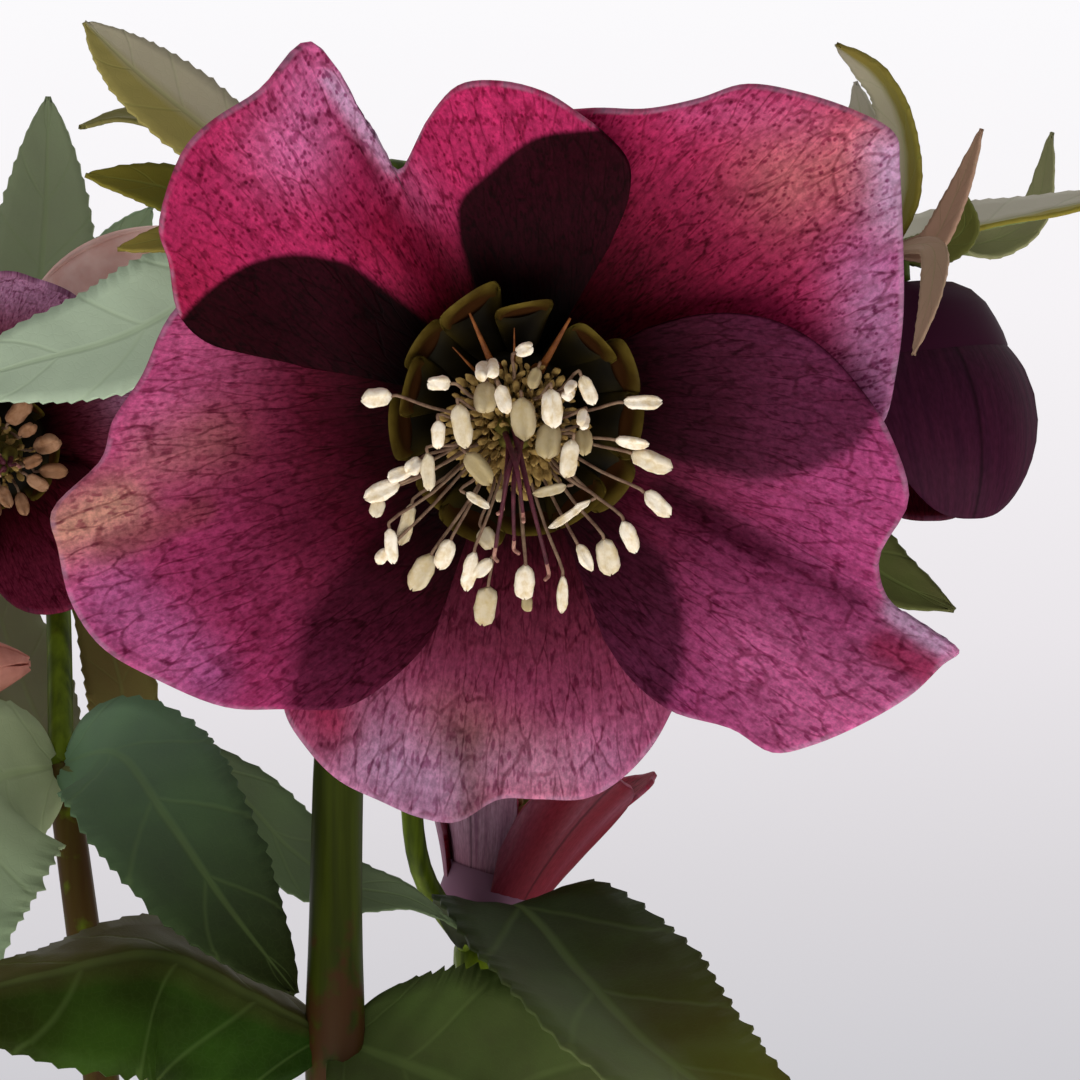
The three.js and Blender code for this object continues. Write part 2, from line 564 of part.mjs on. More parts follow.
function pot() {
  const rimFoot = POT.height - POT.rimHeight;
  const inside = (z) => wallRadius(z) - POT.wall;
  const body = turned([
    [0, 0], [POT.baseRadius - 1.5, 0], [POT.baseRadius, 1.5], [wallRadius(rimFoot), rimFoot],
    [POT.rimRadius - 3, rimFoot + 1], [POT.rimRadius - 2, rimFoot + 3], [POT.rimRadius, POT.height - 3],
    [POT.rimRadius - 1.5, POT.height], [inside(POT.height) + 1.5, POT.height],
    [inside(POT.height), POT.height - 2], [inside(POT.floor), POT.floor], [0, POT.floor],
  ], POT.sides);
  const holes = Array.from({ length: DRAIN.count }, (_, k) => {
    const turn = (2 * Math.PI * (k + 0.5)) / DRAIN.count;
    const hole = new THREE.CylinderGeometry(DRAIN.radius, DRAIN.radius, POT.floor * 3, 12);
    return hole.rotateX(Math.PI / 2).translate(DRAIN.ring * Math.cos(turn), DRAIN.ring * Math.sin(turn), 0);
  });
  return cut(body, holes);
}

// A soil fill with a low mound, and a plain hole for each stem and leaf stalk.
function soil(feet) {
  const bottom = POT.floor + GAP;
  const inside = (z) => (wallRadius(z) - POT.wall) - GAP * 1.5;
  const fill = turned([
    [0, bottom], [inside(bottom), bottom], [inside(SOIL.edge), SOIL.edge],
    [inside(SOIL.edge) * 0.7, SOIL.edge + 2.6], [inside(SOIL.edge) * 0.35, SOIL.mound - 0.6], [0, SOIL.mound],
  ], POT.sides);
  const holes = feet.map(({ foot: [x, y], radius }) => {
    const hole = new THREE.CylinderGeometry(radius + GAP, radius + GAP, 2 * SOIL.holeDepth, 10);
    return hole.rotateX(Math.PI / 2).translate(x, y, SOIL.edge);
  });
  return cut(fill, holes);
}

// ---------- assembly ----------

const material = (color, roughness) => new THREE.MeshStandardMaterial({ color, roughness, metalness: 0 });

const finishes = {
  terracotta: material("#b4673f", 0.85),
  soil: material("#2d221b", 0.95),
  stem: material("#56661a", 0.55),
  leaf: material("#37501f", 0.5),
  wine: material("#a63a6c", 0.5),
  darkWine: material("#3f162c", 0.5),
  mauve: material("#8d4f74", 0.5),
  nectary: material("#6b6a26", 0.5),
  cream: material("#e4dac0", 0.6),
  style: material("#7a4433", 0.55),
  budPink: material("#c9a0a0", 0.55),
};

const plant = new THREE.Group();
plant.name = "hellebore_plant";

function add(parent, name, geometry, finish) {
  const mesh = new THREE.Mesh(geometry, finish);
  mesh.name = name;
  parent.add(mesh);
  return mesh;
}

// A group whose Z axis looks along the given direction, with its Y axis as near upright as it can be
// before it is turned about Z by so many degrees.
function facing({ place, direction, turn = 0 }) {
  const group = new THREE.Group();
  const z = new THREE.Vector3(...direction).normalize();
  const upright = Math.abs(z.z) > 0.98 ? new THREE.Vector3(0, 1, 0) : new THREE.Vector3(0, 0, 1);
  const x = upright.cross(z).normalize();
  const y = z.clone().cross(x);
  group.setRotationFromMatrix(new THREE.Matrix4().makeBasis(x, y, z));
  group.rotateZ(THREE.MathUtils.degToRad(turn));
  group.position.set(...place);
  plant.add(group);
  return group;
}

// One bloom: its sepals with the receptacle, its nectaries, its stamens and its pistil.
function addBloom(name, bloom, parts) {
  const group = facing(bloom);
  add(group, `${name}_sepals`, fuse([receptacle(), ...parts.sepals]), parts.finish);
  add(group, `${name}_nectaries`, parts.nectaries, finishes.nectary);
  add(group, `${name}_stamens`, parts.stamens, finishes.cream);
  add(group, `${name}_pistil`, parts.pistil, finishes.style);
}

addBloom("main", MAIN_BLOOM, {
  sepals: MAIN_SEPALS.map((outline) => sepal(MAIN_CUP, outline)),
  nectaries: nectaries({ count: 11, reach: 10.6, mouth: 1.7, sides: 4 }),
  stamens: stamens(MAIN_ANTHERS.map(([x, y]) => [x, y, antherHeight(x, y)]), MAIN_ANTHER),
  pistil: pistil(MAIN_STYLES),
  finish: finishes.wine,
});

for (const [name, bloom, finish] of [
  ["right", RIGHT_BLOOM, finishes.darkWine],
  ["left", LEFT_BLOOM, finishes.darkWine],
  ["lower", LOWER_BLOOM, finishes.mauve],
]) {
  const profile = bloom.funnel ? funnel(bloom.funnel) : roundCup(bloom.cup);
  const cup = { profile, layer: bloom.layer ?? LAYER.small, ruffle: () => 0 };
  addBloom(name, bloom, {
    sepals: plainSepals(bloom).map((outline) => sepal(cup, outline)),
    nectaries: nectaries({ count: 6, reach: 6, mouth: 1.25, sides: 3 }),
    stamens: stamens(spreadTips(7, 2.6, 6, 14), SMALL_ANTHER),
    pistil: pistil(SMALL_STYLES),
    finish,
  });
}

// The main stem carries the main bloom, and by a side branch behind it the right bloom.
const mainStem = leafyStem([
  { thick: STEMS.main.radius, thin: 2.1, sides: 8,
    line: [...footOf(STEMS.main.foot), [3.5, -6, 200], [2.5, -18, 270], LOW_NODE, [2.8, -22, 316.5],
      [4, -23, 343.5], TOP_NODE] },
  { thick: 1.8, thin: 1.5, line: [TOP_NODE, [8, -24, 374.5], [16, -25, 370], ...bloomStalk(MAIN_BLOOM)] },
  { thick: 1.7, thin: 1.4,
    line: [TOP_NODE, [18, -12, 372], [38, -9, 367], SIDE_NODE, ...bloomStalk(RIGHT_BLOOM)] },
], MAIN_BRACTS);
add(plant, "main_leafy_stem", mainStem, finishes.stem);

// The left stem carries the left bloom and two buds.
const leftStem = leafyStem([
  { thick: STEMS.left.radius, thin: 1.6,
    line: [...footOf(STEMS.left.foot), [-16, 1, 200], [-21, -6, 280], LEFT_NODE] },
  { thick: 1.3, thin: 1.1,
    line: [LEFT_NODE, [-27, 4, 333.6], [-28.5, 11.5, 344], LEFT_TOP_NODE, [-32.5, 16, 355.5],
      ...bloomStalk(LEFT_BLOOM)] },
  { thick: 1.4, thin: 1.1, line: [LEFT_TOP_NODE, [-33, 13.5, 360], ...budStalk(BUD_UPPER)] },
  { thick: 1.3, thin: 1.1, line: [LEFT_NODE, [-38, -4, 318], [-49, -5.5, 320.5], ...budStalk(BUD_LOWER)] },
], LEFT_BRACTS);
add(plant, "left_leafy_stem", leftStem, finishes.stem);

// The right stem carries the lower bloom and a young bud.
const rightStem = leafyStem([
  { thick: STEMS.right.radius, thin: 1.9,
    line: [...footOf(STEMS.right.foot), [19, 20, 200], [17.5, 16, 275], RIGHT_NODE,
      ...bloomStalk(LOWER_BLOOM)] },
  { thick: 1.2, thin: 1, sides: 5, line: [RIGHT_NODE, [10, 6, 306], [9, 4.5, 318], ...budStalk(BUD_HIDDEN)] },
], RIGHT_BRACTS);
add(plant, "right_leafy_stem", rightStem, finishes.stem);

for (const [name, shape] of [["upper", BUD_UPPER], ["lower", BUD_LOWER], ["hidden", BUD_HIDDEN]]) {
  add(facing(shape), `bud_${name}`, bud(shape), finishes.budPink);
}

for (const [k, leaf] of ROOT_LEAVES.entries()) {
  add(plant, `root_leaf_${k + 1}`, rootLeaf(leaf), finishes.leaf);
}

const rootLeafFeet = ROOT_LEAVES.map(({ azimuth }) => {
  const turn = THREE.MathUtils.degToRad(azimuth);
  const { ring, radius } = ROOT_LEAF_FOOT;
  return { foot: [ring * Math.cos(turn), ring * Math.sin(turn)], radius };
});
add(plant, "soil", soil([...Object.values(STEMS), ...rootLeafFeet]), finishes.soil);
add(plant, "pot", pot(), finishes.terracotta);

export default plant;
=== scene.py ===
import math
from functools import partial

import bmesh
import bpy
import numpy as np
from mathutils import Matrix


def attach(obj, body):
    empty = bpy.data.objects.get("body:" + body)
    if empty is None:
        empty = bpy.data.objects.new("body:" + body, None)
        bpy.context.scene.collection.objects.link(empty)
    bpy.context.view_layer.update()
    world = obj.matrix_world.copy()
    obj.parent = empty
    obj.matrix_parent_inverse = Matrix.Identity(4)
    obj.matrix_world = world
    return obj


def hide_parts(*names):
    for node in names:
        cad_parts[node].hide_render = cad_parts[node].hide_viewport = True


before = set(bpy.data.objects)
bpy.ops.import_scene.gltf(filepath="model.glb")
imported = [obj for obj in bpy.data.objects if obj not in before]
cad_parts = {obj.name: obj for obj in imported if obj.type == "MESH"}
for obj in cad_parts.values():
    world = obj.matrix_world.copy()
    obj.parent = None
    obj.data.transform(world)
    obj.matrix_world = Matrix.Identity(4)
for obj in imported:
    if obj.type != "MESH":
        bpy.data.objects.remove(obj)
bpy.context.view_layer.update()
print("frame loaded:", len(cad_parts), "nodes")

mm = 0.001 # the frame is in metres, and the sizes here are in mm
rng = np.random.default_rng(11) # for the bends and sizes of the stamens


# small helpers

# sRGB hex to linear, with full alpha
def srgb(hexColour):
    parts = [int(hexColour[i:i + 2], 16) / 255 for i in (1, 3, 5)]
    linear = [c / 12.92 if c <= 0.04045 else ((c + 0.055) / 1.055) ** 2.4 for c in parts]
    return (*linear, 1.0)


# adds a node with its settings and inputs. As an input, a node stands for its first live output, a text
# that starts with # for its colour and a list for several links.
def addNode(tree, kind, inputs=None, **settings):
    family = "GeometryNode" if tree.bl_idname == "GeometryNodeTree" else "ShaderNode"
    node = tree.nodes.new(kind if "Node" in kind else family + kind)
    for name, value in settings.items():
        setattr(node, name, value)
    for key, given in (inputs or {}).items():
        for value in given if isinstance(given, list) else [given]:
            if isinstance(value, bpy.types.Node):
                value = next(socket for socket in value.outputs if socket.enabled)
            if isinstance(value, bpy.types.NodeSocket):
                tree.links.new(value, node.inputs[key])
            else:
                node.inputs[key].default_value = srgb(value) if str(value).startswith("#") else value
    return node


def unit(v):
    v = np.asarray(v, float)
    return v / np.maximum(np.linalg.norm(v, axis=-1, keepdims=True), 1e-9)


def smoothStep(x, low, high):
    t = np.clip((np.asarray(x, float) - low) / (high - low), 0, 1)
    return t * t * (3 - 2 * t)


# a smooth line through its corners, sampled evenly from corner to corner
def smoothLine(corners, count):
    p = np.asarray(corners, float)
    p = np.vstack([2 * p[0] - p[1], p, 2 * p[-1] - p[-2]])
    spots = np.linspace(0, len(p) - 3, count)
    line = []
    for s in spots:
        i = min(int(s), len(p) - 4)
        t = s - i
        a, b, c, d = p[i:i + 4]
        ab, bc, cd = [max(np.linalg.norm(k) ** 0.5, 1e-4) for k in (b - a, c - b, d - c)]
        leave = ((b - a) / ab - (c - a) / (ab + bc) + (c - b) / bc) * bc
        arrive = ((c - b) / bc - (d - b) / (bc + cd) + (d - c) / cd) * bc
        line.append(b * (2 * t**3 - 3 * t**2 + 1) + c * (3 * t**2 - 2 * t**3)
                    + leave * (t**3 - 2 * t**2 + t) + arrive * (t**3 - t**2))
    return np.array(line)


# a piece is gathered patch by patch: points in mm, faces, a paint number for each face, marks for each point
def newPiece():
    return {"points": [], "faces": [], "paint": [], "marks": []}


def addPatch(piece, points, faces, paint, marks=None):
    start = sum(len(p) for p in piece["points"])
    piece["points"].append(np.asarray(points, float))
    piece["faces"].extend([[k + start for k in face] for face in faces])
    piece["paint"].extend([paint] * len(faces) if isinstance(paint, int) else paint)
    piece["marks"].append({key: np.broadcast_to(value, len(points)) for key, value in (marks or {}).items()})


def placePiece(piece, place, axes):
    piece["points"] = [np.asarray(place) + p @ axes for p in piece["points"]]
    return piece


def addObject(name, data):
    thing = bpy.data.objects.new(name, data)
    bpy.context.scene.collection.objects.link(thing)
    return thing


def addMarks(mesh, marks):
    for key, values in marks.items():
        values = np.array(values, np.float32)
        kind, field = ("FLOAT", "value") if values.ndim == 1 else ("FLOAT_VECTOR", "vector")
        mesh.attributes.new(key, kind, "POINT").data.foreach_set(field, values.reshape(-1))


def makeObject(name, piece, materials):
    mesh = bpy.data.meshes.new(name)
    mesh.from_pydata((np.vstack(piece["points"]) * mm).tolist(), [], piece["faces"])
    for material in materials:
        mesh.materials.append(material)
    mesh.polygons.foreach_set("material_index", piece["paint"])
    mesh.polygons.foreach_set("use_smooth", [True] * len(mesh.polygons))
    patches = list(zip(piece["marks"], piece["points"]))
    addMarks(mesh, {key: np.concatenate([marks.get(key, np.zeros(len(points))) for marks, points in patches])
                    for key in sorted(set().union(*piece["marks"]))})
    mesh.update()
    return addObject(name, mesh)


# a sheet of rows x columns points gets its thickness: the front looks along rows x columns
def sheetPatch(piece, grid, thickness, marks, front=0, back=1, rim=0):
    rows, columns = grid.shape[:2]
    half = unit(np.cross(np.gradient(grid, axis=0), np.gradient(grid, axis=1))) * thickness / 2
    points = np.vstack([(grid + half).reshape(-1, 3), (grid - half).reshape(-1, 3)])
    size = rows * columns
    at = np.arange(size).reshape(rows, columns)
    quads = np.stack([at[:-1, :-1], at[1:, :-1], at[1:, 1:], at[:-1, 1:]], axis=2).reshape(-1, 4)
    edge = np.concatenate([at[0, :], at[1:, -1], at[-1, -2::-1], at[-2:0:-1, 0]])
    ahead = np.roll(edge, -1)
    walls = np.stack([edge, ahead, ahead + size, edge + size], axis=1)
    faces = np.vstack([quads, quads[:, ::-1] + size, walls]).tolist()
    paint = [front] * len(quads) + [back] * len(quads) + [rim] * len(walls)
    addPatch(piece, points, faces, paint, {key: np.tile(np.ravel(values), 2) for key, values in marks.items()})


# the faces of a closed solid: a first point, rings of points and a last point
def ringFaces(rings, sides):
    faces = []
    last = rings * sides + 1
    for k in range(sides):
        n = (k + 1) % sides
        faces.append([0, 1 + n, 1 + k])
        for i in range(rings - 1):
            a, b = 1 + i * sides + k, 1 + i * sides + n
            faces.append([a, b, b + sides, a + sides])
        faces.append([last, last - sides + k, last - sides + n])
    return faces


# a tube with round ends along a line, given as points in mm with a radius for each
def tubePatch(piece, line, radii, sides, paint, marks=None):
    line, radii = np.asarray(line, float), np.asarray(radii, float)
    ahead = unit(np.gradient(line, axis=0))
    side = np.cross([0.0, 0.0, 1.0], ahead[0])
    if np.linalg.norm(side) < 0.1: # it starts upright
        side = np.array([1.0, 0.0, 0.0])
    turns = np.linspace(0, 2 * np.pi, sides, endpoint=False)
    points = [line[0] - ahead[0] * radii[0] * 0.4]
    for centre, way, radius in zip(line, ahead, radii):
        side = unit(side - way * side.dot(way))
        up = np.cross(way, side)
        points.extend(centre + radius * (math.cos(t) * side + math.sin(t) * up) for t in turns)
    points.append(line[-1] + ahead[-1] * radii[-1] * 0.4)
    order = [0, *np.repeat(range(len(line)), sides), -1]
    own = {key: np.broadcast_to(value, len(line))[order] for key, value in (marks or {}).items()}
    addPatch(piece, points, ringFaces(len(line), sides), paint, own)


# a small solid turned about Z, from its profile of radius and height
def turnedPatch(piece, profile, sides, paint, marks=None):
    turns = np.linspace(0, 2 * np.pi, sides, endpoint=False)
    points = [(0, 0, profile[0][1])]
    for r, z in profile[1:-1]:
        points.extend((r * np.cos(t), r * np.sin(t), z) for t in turns)
    points.append((0, 0, profile[-1][1]))
    addPatch(piece, points, ringFaces(len(profile) - 2, sides), paint, marks)


# axes of a bloom: the row Z is the way it faces and the row Y is as near upright as it can be
def facing(direction, turn=0):
    z = unit(direction)
    upright = np.array([0.0, 1.0, 0.0]) if abs(z[2]) > 0.98 else np.array([0.0, 0.0, 1.0])
    x = unit(np.cross(upright, z))
    y = np.cross(z, x)
    c, s = math.cos(math.radians(turn)), math.sin(math.radians(turn))
    return np.array([c * x + s * y, c * y - s * x, z])


def bloomAxes(bloom):
    return facing(bloom["direction"], bloom.get("turn", 0))


def finishPiece(piece, slot, *nodes):
    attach(piece, "root")
    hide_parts(*nodes)


# geometry nodes: each group is built here and turned into a plain mesh

def newNodeGroup(name, sizes):
    group = bpy.data.node_groups.new(name, "GeometryNodeTree")
    group.interface.new_socket("Geometry", in_out="INPUT", socket_type="NodeSocketGeometry")
    for label, kind, value in sizes:
        group.interface.new_socket(label, in_out="INPUT", socket_type="NodeSocket" + kind).default_value = value
    group.interface.new_socket("Geometry", in_out="OUTPUT", socket_type="NodeSocketGeometry")
    node = partial(addNode, group)
    return group, node, node("NodeGroupInput")


def applyNodeGroup(name, base, group, values):
    modifier = base.modifiers.new(group.name, "NODES")
    modifier.node_group = group
    for item in group.interface.items_tree:
        if item.in_out == "INPUT" and item.name in values:
            modifier[item.identifier] = values[item.name]
    base.update_tag()
    bpy.context.view_layer.update()
    mesh = bpy.data.meshes.new_from_object(base.evaluated_get(bpy.context.evaluated_depsgraph_get()))
    mesh.name = name
    bpy.data.objects.remove(base)
    return addObject(name, mesh)


# materials

# an empty material and the marks of the mesh that it reads
def newMaterial(name, *keys):
    material = bpy.data.materials.new(name)
    material.use_nodes = True
    tree = material.node_tree
    tree.nodes.clear()
    node = partial(addNode, tree) # adds a node to this material
    return material, node, {key: node("Attribute", attribute_name=key).outputs["Fac"] for key in keys}


# the last nodes of a skin: relief with its depth in mm, gloss, and for thin living tissue the share of the
# light that falls on one face and comes out of the other
def skinOutput(node, colour, height, strength, depth, roughness, gloss, through=0.0, ior=1.42):
    bump = node("Bump", {"Strength": strength, "Distance": depth * mm, "Height": height})
    surface = node("BsdfPrincipled", {
        "Base Color": colour, "Roughness": roughness, "IOR": ior, "Specular IOR Level": gloss, "Normal": bump})
    if through:
        tissue = node("BsdfTranslucent", {"Color": colour})
        surface = node("MixShader", {0: through, 1: surface, 2: tissue})
    node("OutputMaterial", {"Surface": surface})


# numbers and patterns multiplied; a tuple is a pattern that comes in softly: the pattern, the values between
# which it changes and what it gives at these two
def product(node, *factors):
    result = None
    for factor in factors:
        if isinstance(factor, tuple):
            factor = node("MapRange", dict(enumerate(factor)), interpolation_type="SMOOTHSTEP")
        result = factor if result is None else node("Math", {0: result, 1: factor}, operation="MULTIPLY")
    return result


# lays coats over a ground one after another: each is its shade and then the factors of its share
def layCoats(node, ground, coats, blend="MIX"):
    for shade, *factors in coats:
        ground = node("Mix", {0: product(node, *factors), 6: ground, 7: shade}, data_type="RGBA", blend_type=blend)
    return ground


# two shades mottled by a noise: gives the noise and the colour
def mottled(node, place, scale, detail, low, high, first, second, roughness=0.5):
    noise = node("TexNoise", {"Vector": place, "Scale": scale, "Detail": detail, "Roughness": roughness})
    part = node("MapRange", {0: noise, 1: low, 2: high})
    return noise, node("Mix", {0: part, 6: first, 7: second}, data_type="RGBA")


# the two ends of a colour ramp are there from the start, and the stops between them are added
def setStops(ramp, stops):
    elements = ramp.color_ramp.elements
    for at, _ in stops[1:-1]:
        elements.new(at)
    for element, (_, colour) in zip(elements, stops):
        element.color = colour


# coordinates of a sepal that is pressed flat: across it and out along it, in patterns of a size in mm, so that
# they fan out from its foot
def sepalPlace(node, across, along):
    marks = [node("Attribute", attribute_name=key).outputs["Fac"]
             for key in ("fanAcross", "fanAlong", "sepalNumber")]
    place = node("CombineXYZ", dict(enumerate(marks)))
    return node("Mapping", {"Vector": place, "Scale": (1 / across, 1 / along, 1.0)})


def sepalNoise(node, across, along, detail, roughness=0.5):
    return node("TexNoise", {"Vector": sepalPlace(node, across, along), "Scale": 1.0, "Detail": detail,
                             "Roughness": roughness})


# living petal tissue, grown, not made: satin, mottled, with fine dark dots and net veins that fan out from
# the foot. Painted shade makes it nearly black at the foot, where hardly any light comes through.
petalLook = {
    "ground": "#b72c60",
    # bright paints the light that comes through a sepal; lilac and violet are partly the sepals' own colour and
    # partly painted sheen
    "tones": {"violet": "#b05a93", "bright": "#e277ad", "tan": "#d09884", "brown": "#7d4a38",
              "lilac": "#d2a9cb", "ruddy": "#a8204a"},
    "rim": "#cfa8c4",
    # what these leave of the ground's red, green and blue; the fold mark is painted shade along the folds, and the
    # overlap mark is painted shade where another sepal lies behind
    "mark": (0.42, 0.15, 0.3, 1), "vein": (0.42, 0.24, 0.3, 1), "crease": (0.22, 0.13, 0.16, 1),
    "overlapShade": (0.05, 0.035, 0.037, 1),
    # widths and lengths in mm
    "dot": (0.42, 0.72), "dash": (0.42, 1.5), "veins": (1.6, 6.0), "grain": (0.42, 0.7), "streak": (1.1, 7.0),
    "clouds": (0.12, 0.33), # per mm
    # painted shade: the same by the part of the way from the dark foot to the lit blade
    "depth": [(0.0, (0.02, 0.01, 0.01, 1)), (0.18, (0.06, 0.02, 0.022, 1)), (0.36, (0.19, 0.1, 0.1, 1)),
              (0.57, (0.45, 0.36, 0.34, 1)), (0.79, (0.78, 0.74, 0.72, 1)), (1.0, (1.0, 1.0, 1.0, 1))],
}


def petalInside(name, look):
    material, node, marks = newMaterial(
        name, "flatX", "flatY", "depth", "behind", "fromMargin", "dotShare", "doubleShare", "creaseTone",
        *(tone + "Tone" for tone in look["tones"]))
    flat = node("CombineXYZ", {"X": marks["flatX"], "Y": marks["flatY"]})
    cloud, patches = [node("TexNoise", {"Vector": flat, "Scale": scale, "Detail": 3.0})
                      for scale in look["clouds"]]
    streaks = sepalNoise(node, *look["streak"], 3.0, 0.6)
    grain = sepalNoise(node, *look["grain"], 2.0, 0.7)
    ground = layCoats(node, look["ground"], [(shade, marks[tone + "Tone"], (streaks, 0.2, 0.55, 0.7, 1.0))
                                             for tone, shade in look["tones"].items()])
    # mottling, fine and coarse
    light = product(node, (grain, 0.3, 0.7, 0.78, 1.26), (streaks, 0.3, 0.7, 0.86, 1.16),
                    (cloud, 0.3, 0.7, 0.92, 1.1))
    ground = node("VectorMath", {0: ground, "Scale": light}, operation="SCALE")
    # veins that branch and join, drawn out along the sepal
    wander = sepalNoise(node, 2.0, 4.0, 3.0).outputs["Color"]
    wander = node("VectorMath", {0: wander, "Scale": 0.5}, operation="SCALE")
    bent = node("VectorMath", {0: sepalPlace(node, *look["veins"]), 1: wander})
    net = node("TexVoronoi", {"Vector": bent, "Scale": 1.0}, feature="DISTANCE_TO_EDGE")
    veins = product(node, (net, 0.06, 0.012), (patches, 0.35, 0.6, 0.35, 1.0))
    # short wavy dashes everywhere, and dots close together in some places and sparse in others
    dashes = product(node, (sepalNoise(node, *look["dash"], 1.0), 0.54, 0.66), (patches, 0.3, 0.62, 0.35, 0.75))
    cells = node("TexVoronoi", {"Vector": sepalPlace(node, *look["dot"]), "Scale": 1.0})
    chance = node("SeparateColor", {0: cells.outputs["Color"]})
    limit = product(node, (patches, 0.3, 0.62, 0.28, 0.44), (chance, 0.1, 0.45))
    ragged = node("Math", {0: cells, 1: product(node, (grain, 0.3, 0.7, 0.0, 0.16))}, operation="ADD")
    inner = node("Math", {0: limit, 1: ragged}, operation="SUBTRACT")
    dots = product(node, (inner, -0.16, 0.18, 0.0, 0.9), marks["dotShare"])
    marked = node("Math", {0: dashes, 1: dots}, operation="MAXIMUM")
    # painted shade: darker towards the foot of each sepal
    falloff = node("ValToRGB", {0: marks["depth"]})
    setStops(falloff, look["depth"])
    ground = layCoats(node, ground, [
        (look["vein"], veins, 0.7), (look["mark"], marked), (falloff, 1.0), (look["crease"], marks["creaseTone"]),
        (look["overlapShade"], (marks["behind"], -1.0, 1.0), marks["doubleShare"])], "MULTIPLY")
    # the very margin is thin and pale
    ground = layCoats(node, ground, [(look["rim"], (marks["fromMargin"], 0.3, 0.05, 0.0, 0.4),
                                      (patches, 0.35, 0.6, 0.1, 1.0), (marks["behind"], 0.0, -1.0))])
    relief = node("Math", {0: streaks, 1: product(node, veins, 0.4)}, operation="SUBTRACT")
    skinOutput(node, ground, relief, 0.3, 0.25, 0.5, 0.05, 0.42)
    return material


# the outer face of the same tissue: paler and duller, with faint lengthwise veins, green towards the foot
def petalOutside(name, pale, deep, foot, ruddy):
    material, node, marks = newMaterial(name, "fanAlong", "fanAcross", "ruddyTone")
    streaks, ground = mottled(node, sepalPlace(node, 1.3, 9.0), 1.0, 4.0, 0.34, 0.66, pale, deep, 0.6)
    low = node("MapRange", {0: marks["fanAlong"], 1: 14.0, 2: 4.0, 3: 0.0, 4: 0.8})
    ground = layCoats(node, ground, [(foot, low), (ruddy, marks["ruddyTone"])])
    grain = node("MapRange", {0: sepalNoise(node, 0.5, 0.9, 2.0), 1: 0.3, 2: 0.7, 3: 0.82, 4: 1.15})
    away = node("Math", {0: marks["fanAcross"]}, operation="ABSOLUTE")
    # painted shade along the fold in the middle of each sepal
    light = product(node, grain, (away, 0.0, 0.7, 0.45, 1.0)) # a dark fold along the middle
    ground = node("VectorMath", {0: ground, "Scale": light}, operation="SCALE")
    skinOutput(node, ground, streaks, 0.3, 0.2, 0.5, 0.08, 0.35)
    return material


# a leathery leaf with a thin coat of its own wax, which makes it satin; its blue tone is painted sheen, its
# near-white tone painted light and its near-black tone painted shade
leafLook = {"dark": "#1a3107", "mid": "#335716", "vein": "#8aa45c", "veins": 9.0,
            "tones": {"blue": "#aed6b0", "olive": "#aa9a40", "wine": "#bd947e", "deep": "#0b0d03",
                      "pale": "#d8d2c2"}}


def leafTop(name, look):
    material, node, marks = newMaterial(name, "across", "along", *(tone + "Tone" for tone in look["tones"]))
    place = node("TexCoord").outputs["Object"]
    cloud, ground = mottled(node, place, 130.0, 4.0, 0.35, 0.68, look["dark"], look["mid"]) # clouds of 8 mm
    ground = layCoats(node, ground, [(shade, marks[tone + "Tone"]) for tone, shade in look["tones"].items()])
    # the midrib, and side veins that leave it at a slant
    out = node("Math", {0: marks["across"]}, operation="ABSOLUTE")
    run = node("Math", {0: marks["along"], 1: product(node, out, 0.17)}, operation="SUBTRACT")
    saw = node("Math", {0: product(node, run, look["veins"]), 1: 1.0}, operation="PINGPONG")
    side, rib = product(node, (saw, 0.12, 0.0, 0.0, 0.6)), product(node, (out, 0.09, 0.02))
    veins = node("Math", {0: side, 1: rib}, operation="MAXIMUM")
    net = node("TexVoronoi", {"Vector": place, "Scale": 1300.0}, feature="DISTANCE_TO_EDGE") # 0.8 mm
    fine = node("MapRange", {0: net, 1: 0.1, 2: 0.0, 3: 0.0, 4: 0.1})
    veins = node("Math", {0: veins, 1: fine}, operation="MAXIMUM")
    ground = layCoats(node, ground, [(look["vein"], veins, 0.16)])
    height = node("Math", {0: cloud, 1: veins}, operation="SUBTRACT")
    skinOutput(node, ground, height, 0.35, 0.25, 0.5, 0.05, 0.2)
    return material


# the under side of a leaf has no wax: it is paler and duller, and its midrib stands out
def leafUnder(name, pale, green):
    material, node, marks = newMaterial(name, "across", "wineTone", "deepTone")
    place = node("TexCoord").outputs["Object"]
    cloud, ground = mottled(node, place, 160.0, 5.0, 0.0, 1.0, pale, green) # clouds of 6 mm
    away = node("Math", {0: marks["across"]}, operation="ABSOLUTE")
    rib = node("MapRange", {0: away, 1: 0.1, 2: 0.0, 3: 0.0, 4: 0.8})
    # the near-black is painted shade
    ground = layCoats(node, ground, [("#a08a7c", marks["wineTone"]), ("#b7b98a", rib),
                                     ("#10120a", marks["deepTone"])])
    height = node("Math", {0: cloud, 1: rib}, operation="ADD")
    skinOutput(node, ground, height, 0.5, 0.3, 0.55, 0.05, 0.2)
    return material


# the skin of a juicy stem: smooth, with streaks of 1.4 mm that grew lengthwise and wine flecks of 2.4 mm; its
# shade colour is painted shade, laid on by the deep mark
def stemSkin(name, green, dark, wine, shade):
    material, node, marks = newMaterial(name, "wineTone", "deepTone")
    place = node("TexCoord").outputs["Object"]
    long = node("Mapping", {"Vector": place, "Scale": (1.0, 1.0, 0.06)})
    streaks, ground = mottled(node, long, 700.0, 4.0, 0.35, 0.65, green, dark)
    flecks = node("TexNoise", {"Vector": place, "Scale": 420.0, "Detail": 3.0})
    seen = node("Math", {0: flecks, 1: marks["wineTone"]}, operation="ADD")
    flecked = node("MapRange", {0: seen, 1: 0.62, 2: 0.78, 3: 0.0, 4: 0.85})
    ground = layCoats(node, ground, [(shade, marks["deepTone"]), (wine, flecked)])
    skinOutput(node, ground, streaks, 0.4, 0.15, 0.45, 0.12)
    return material


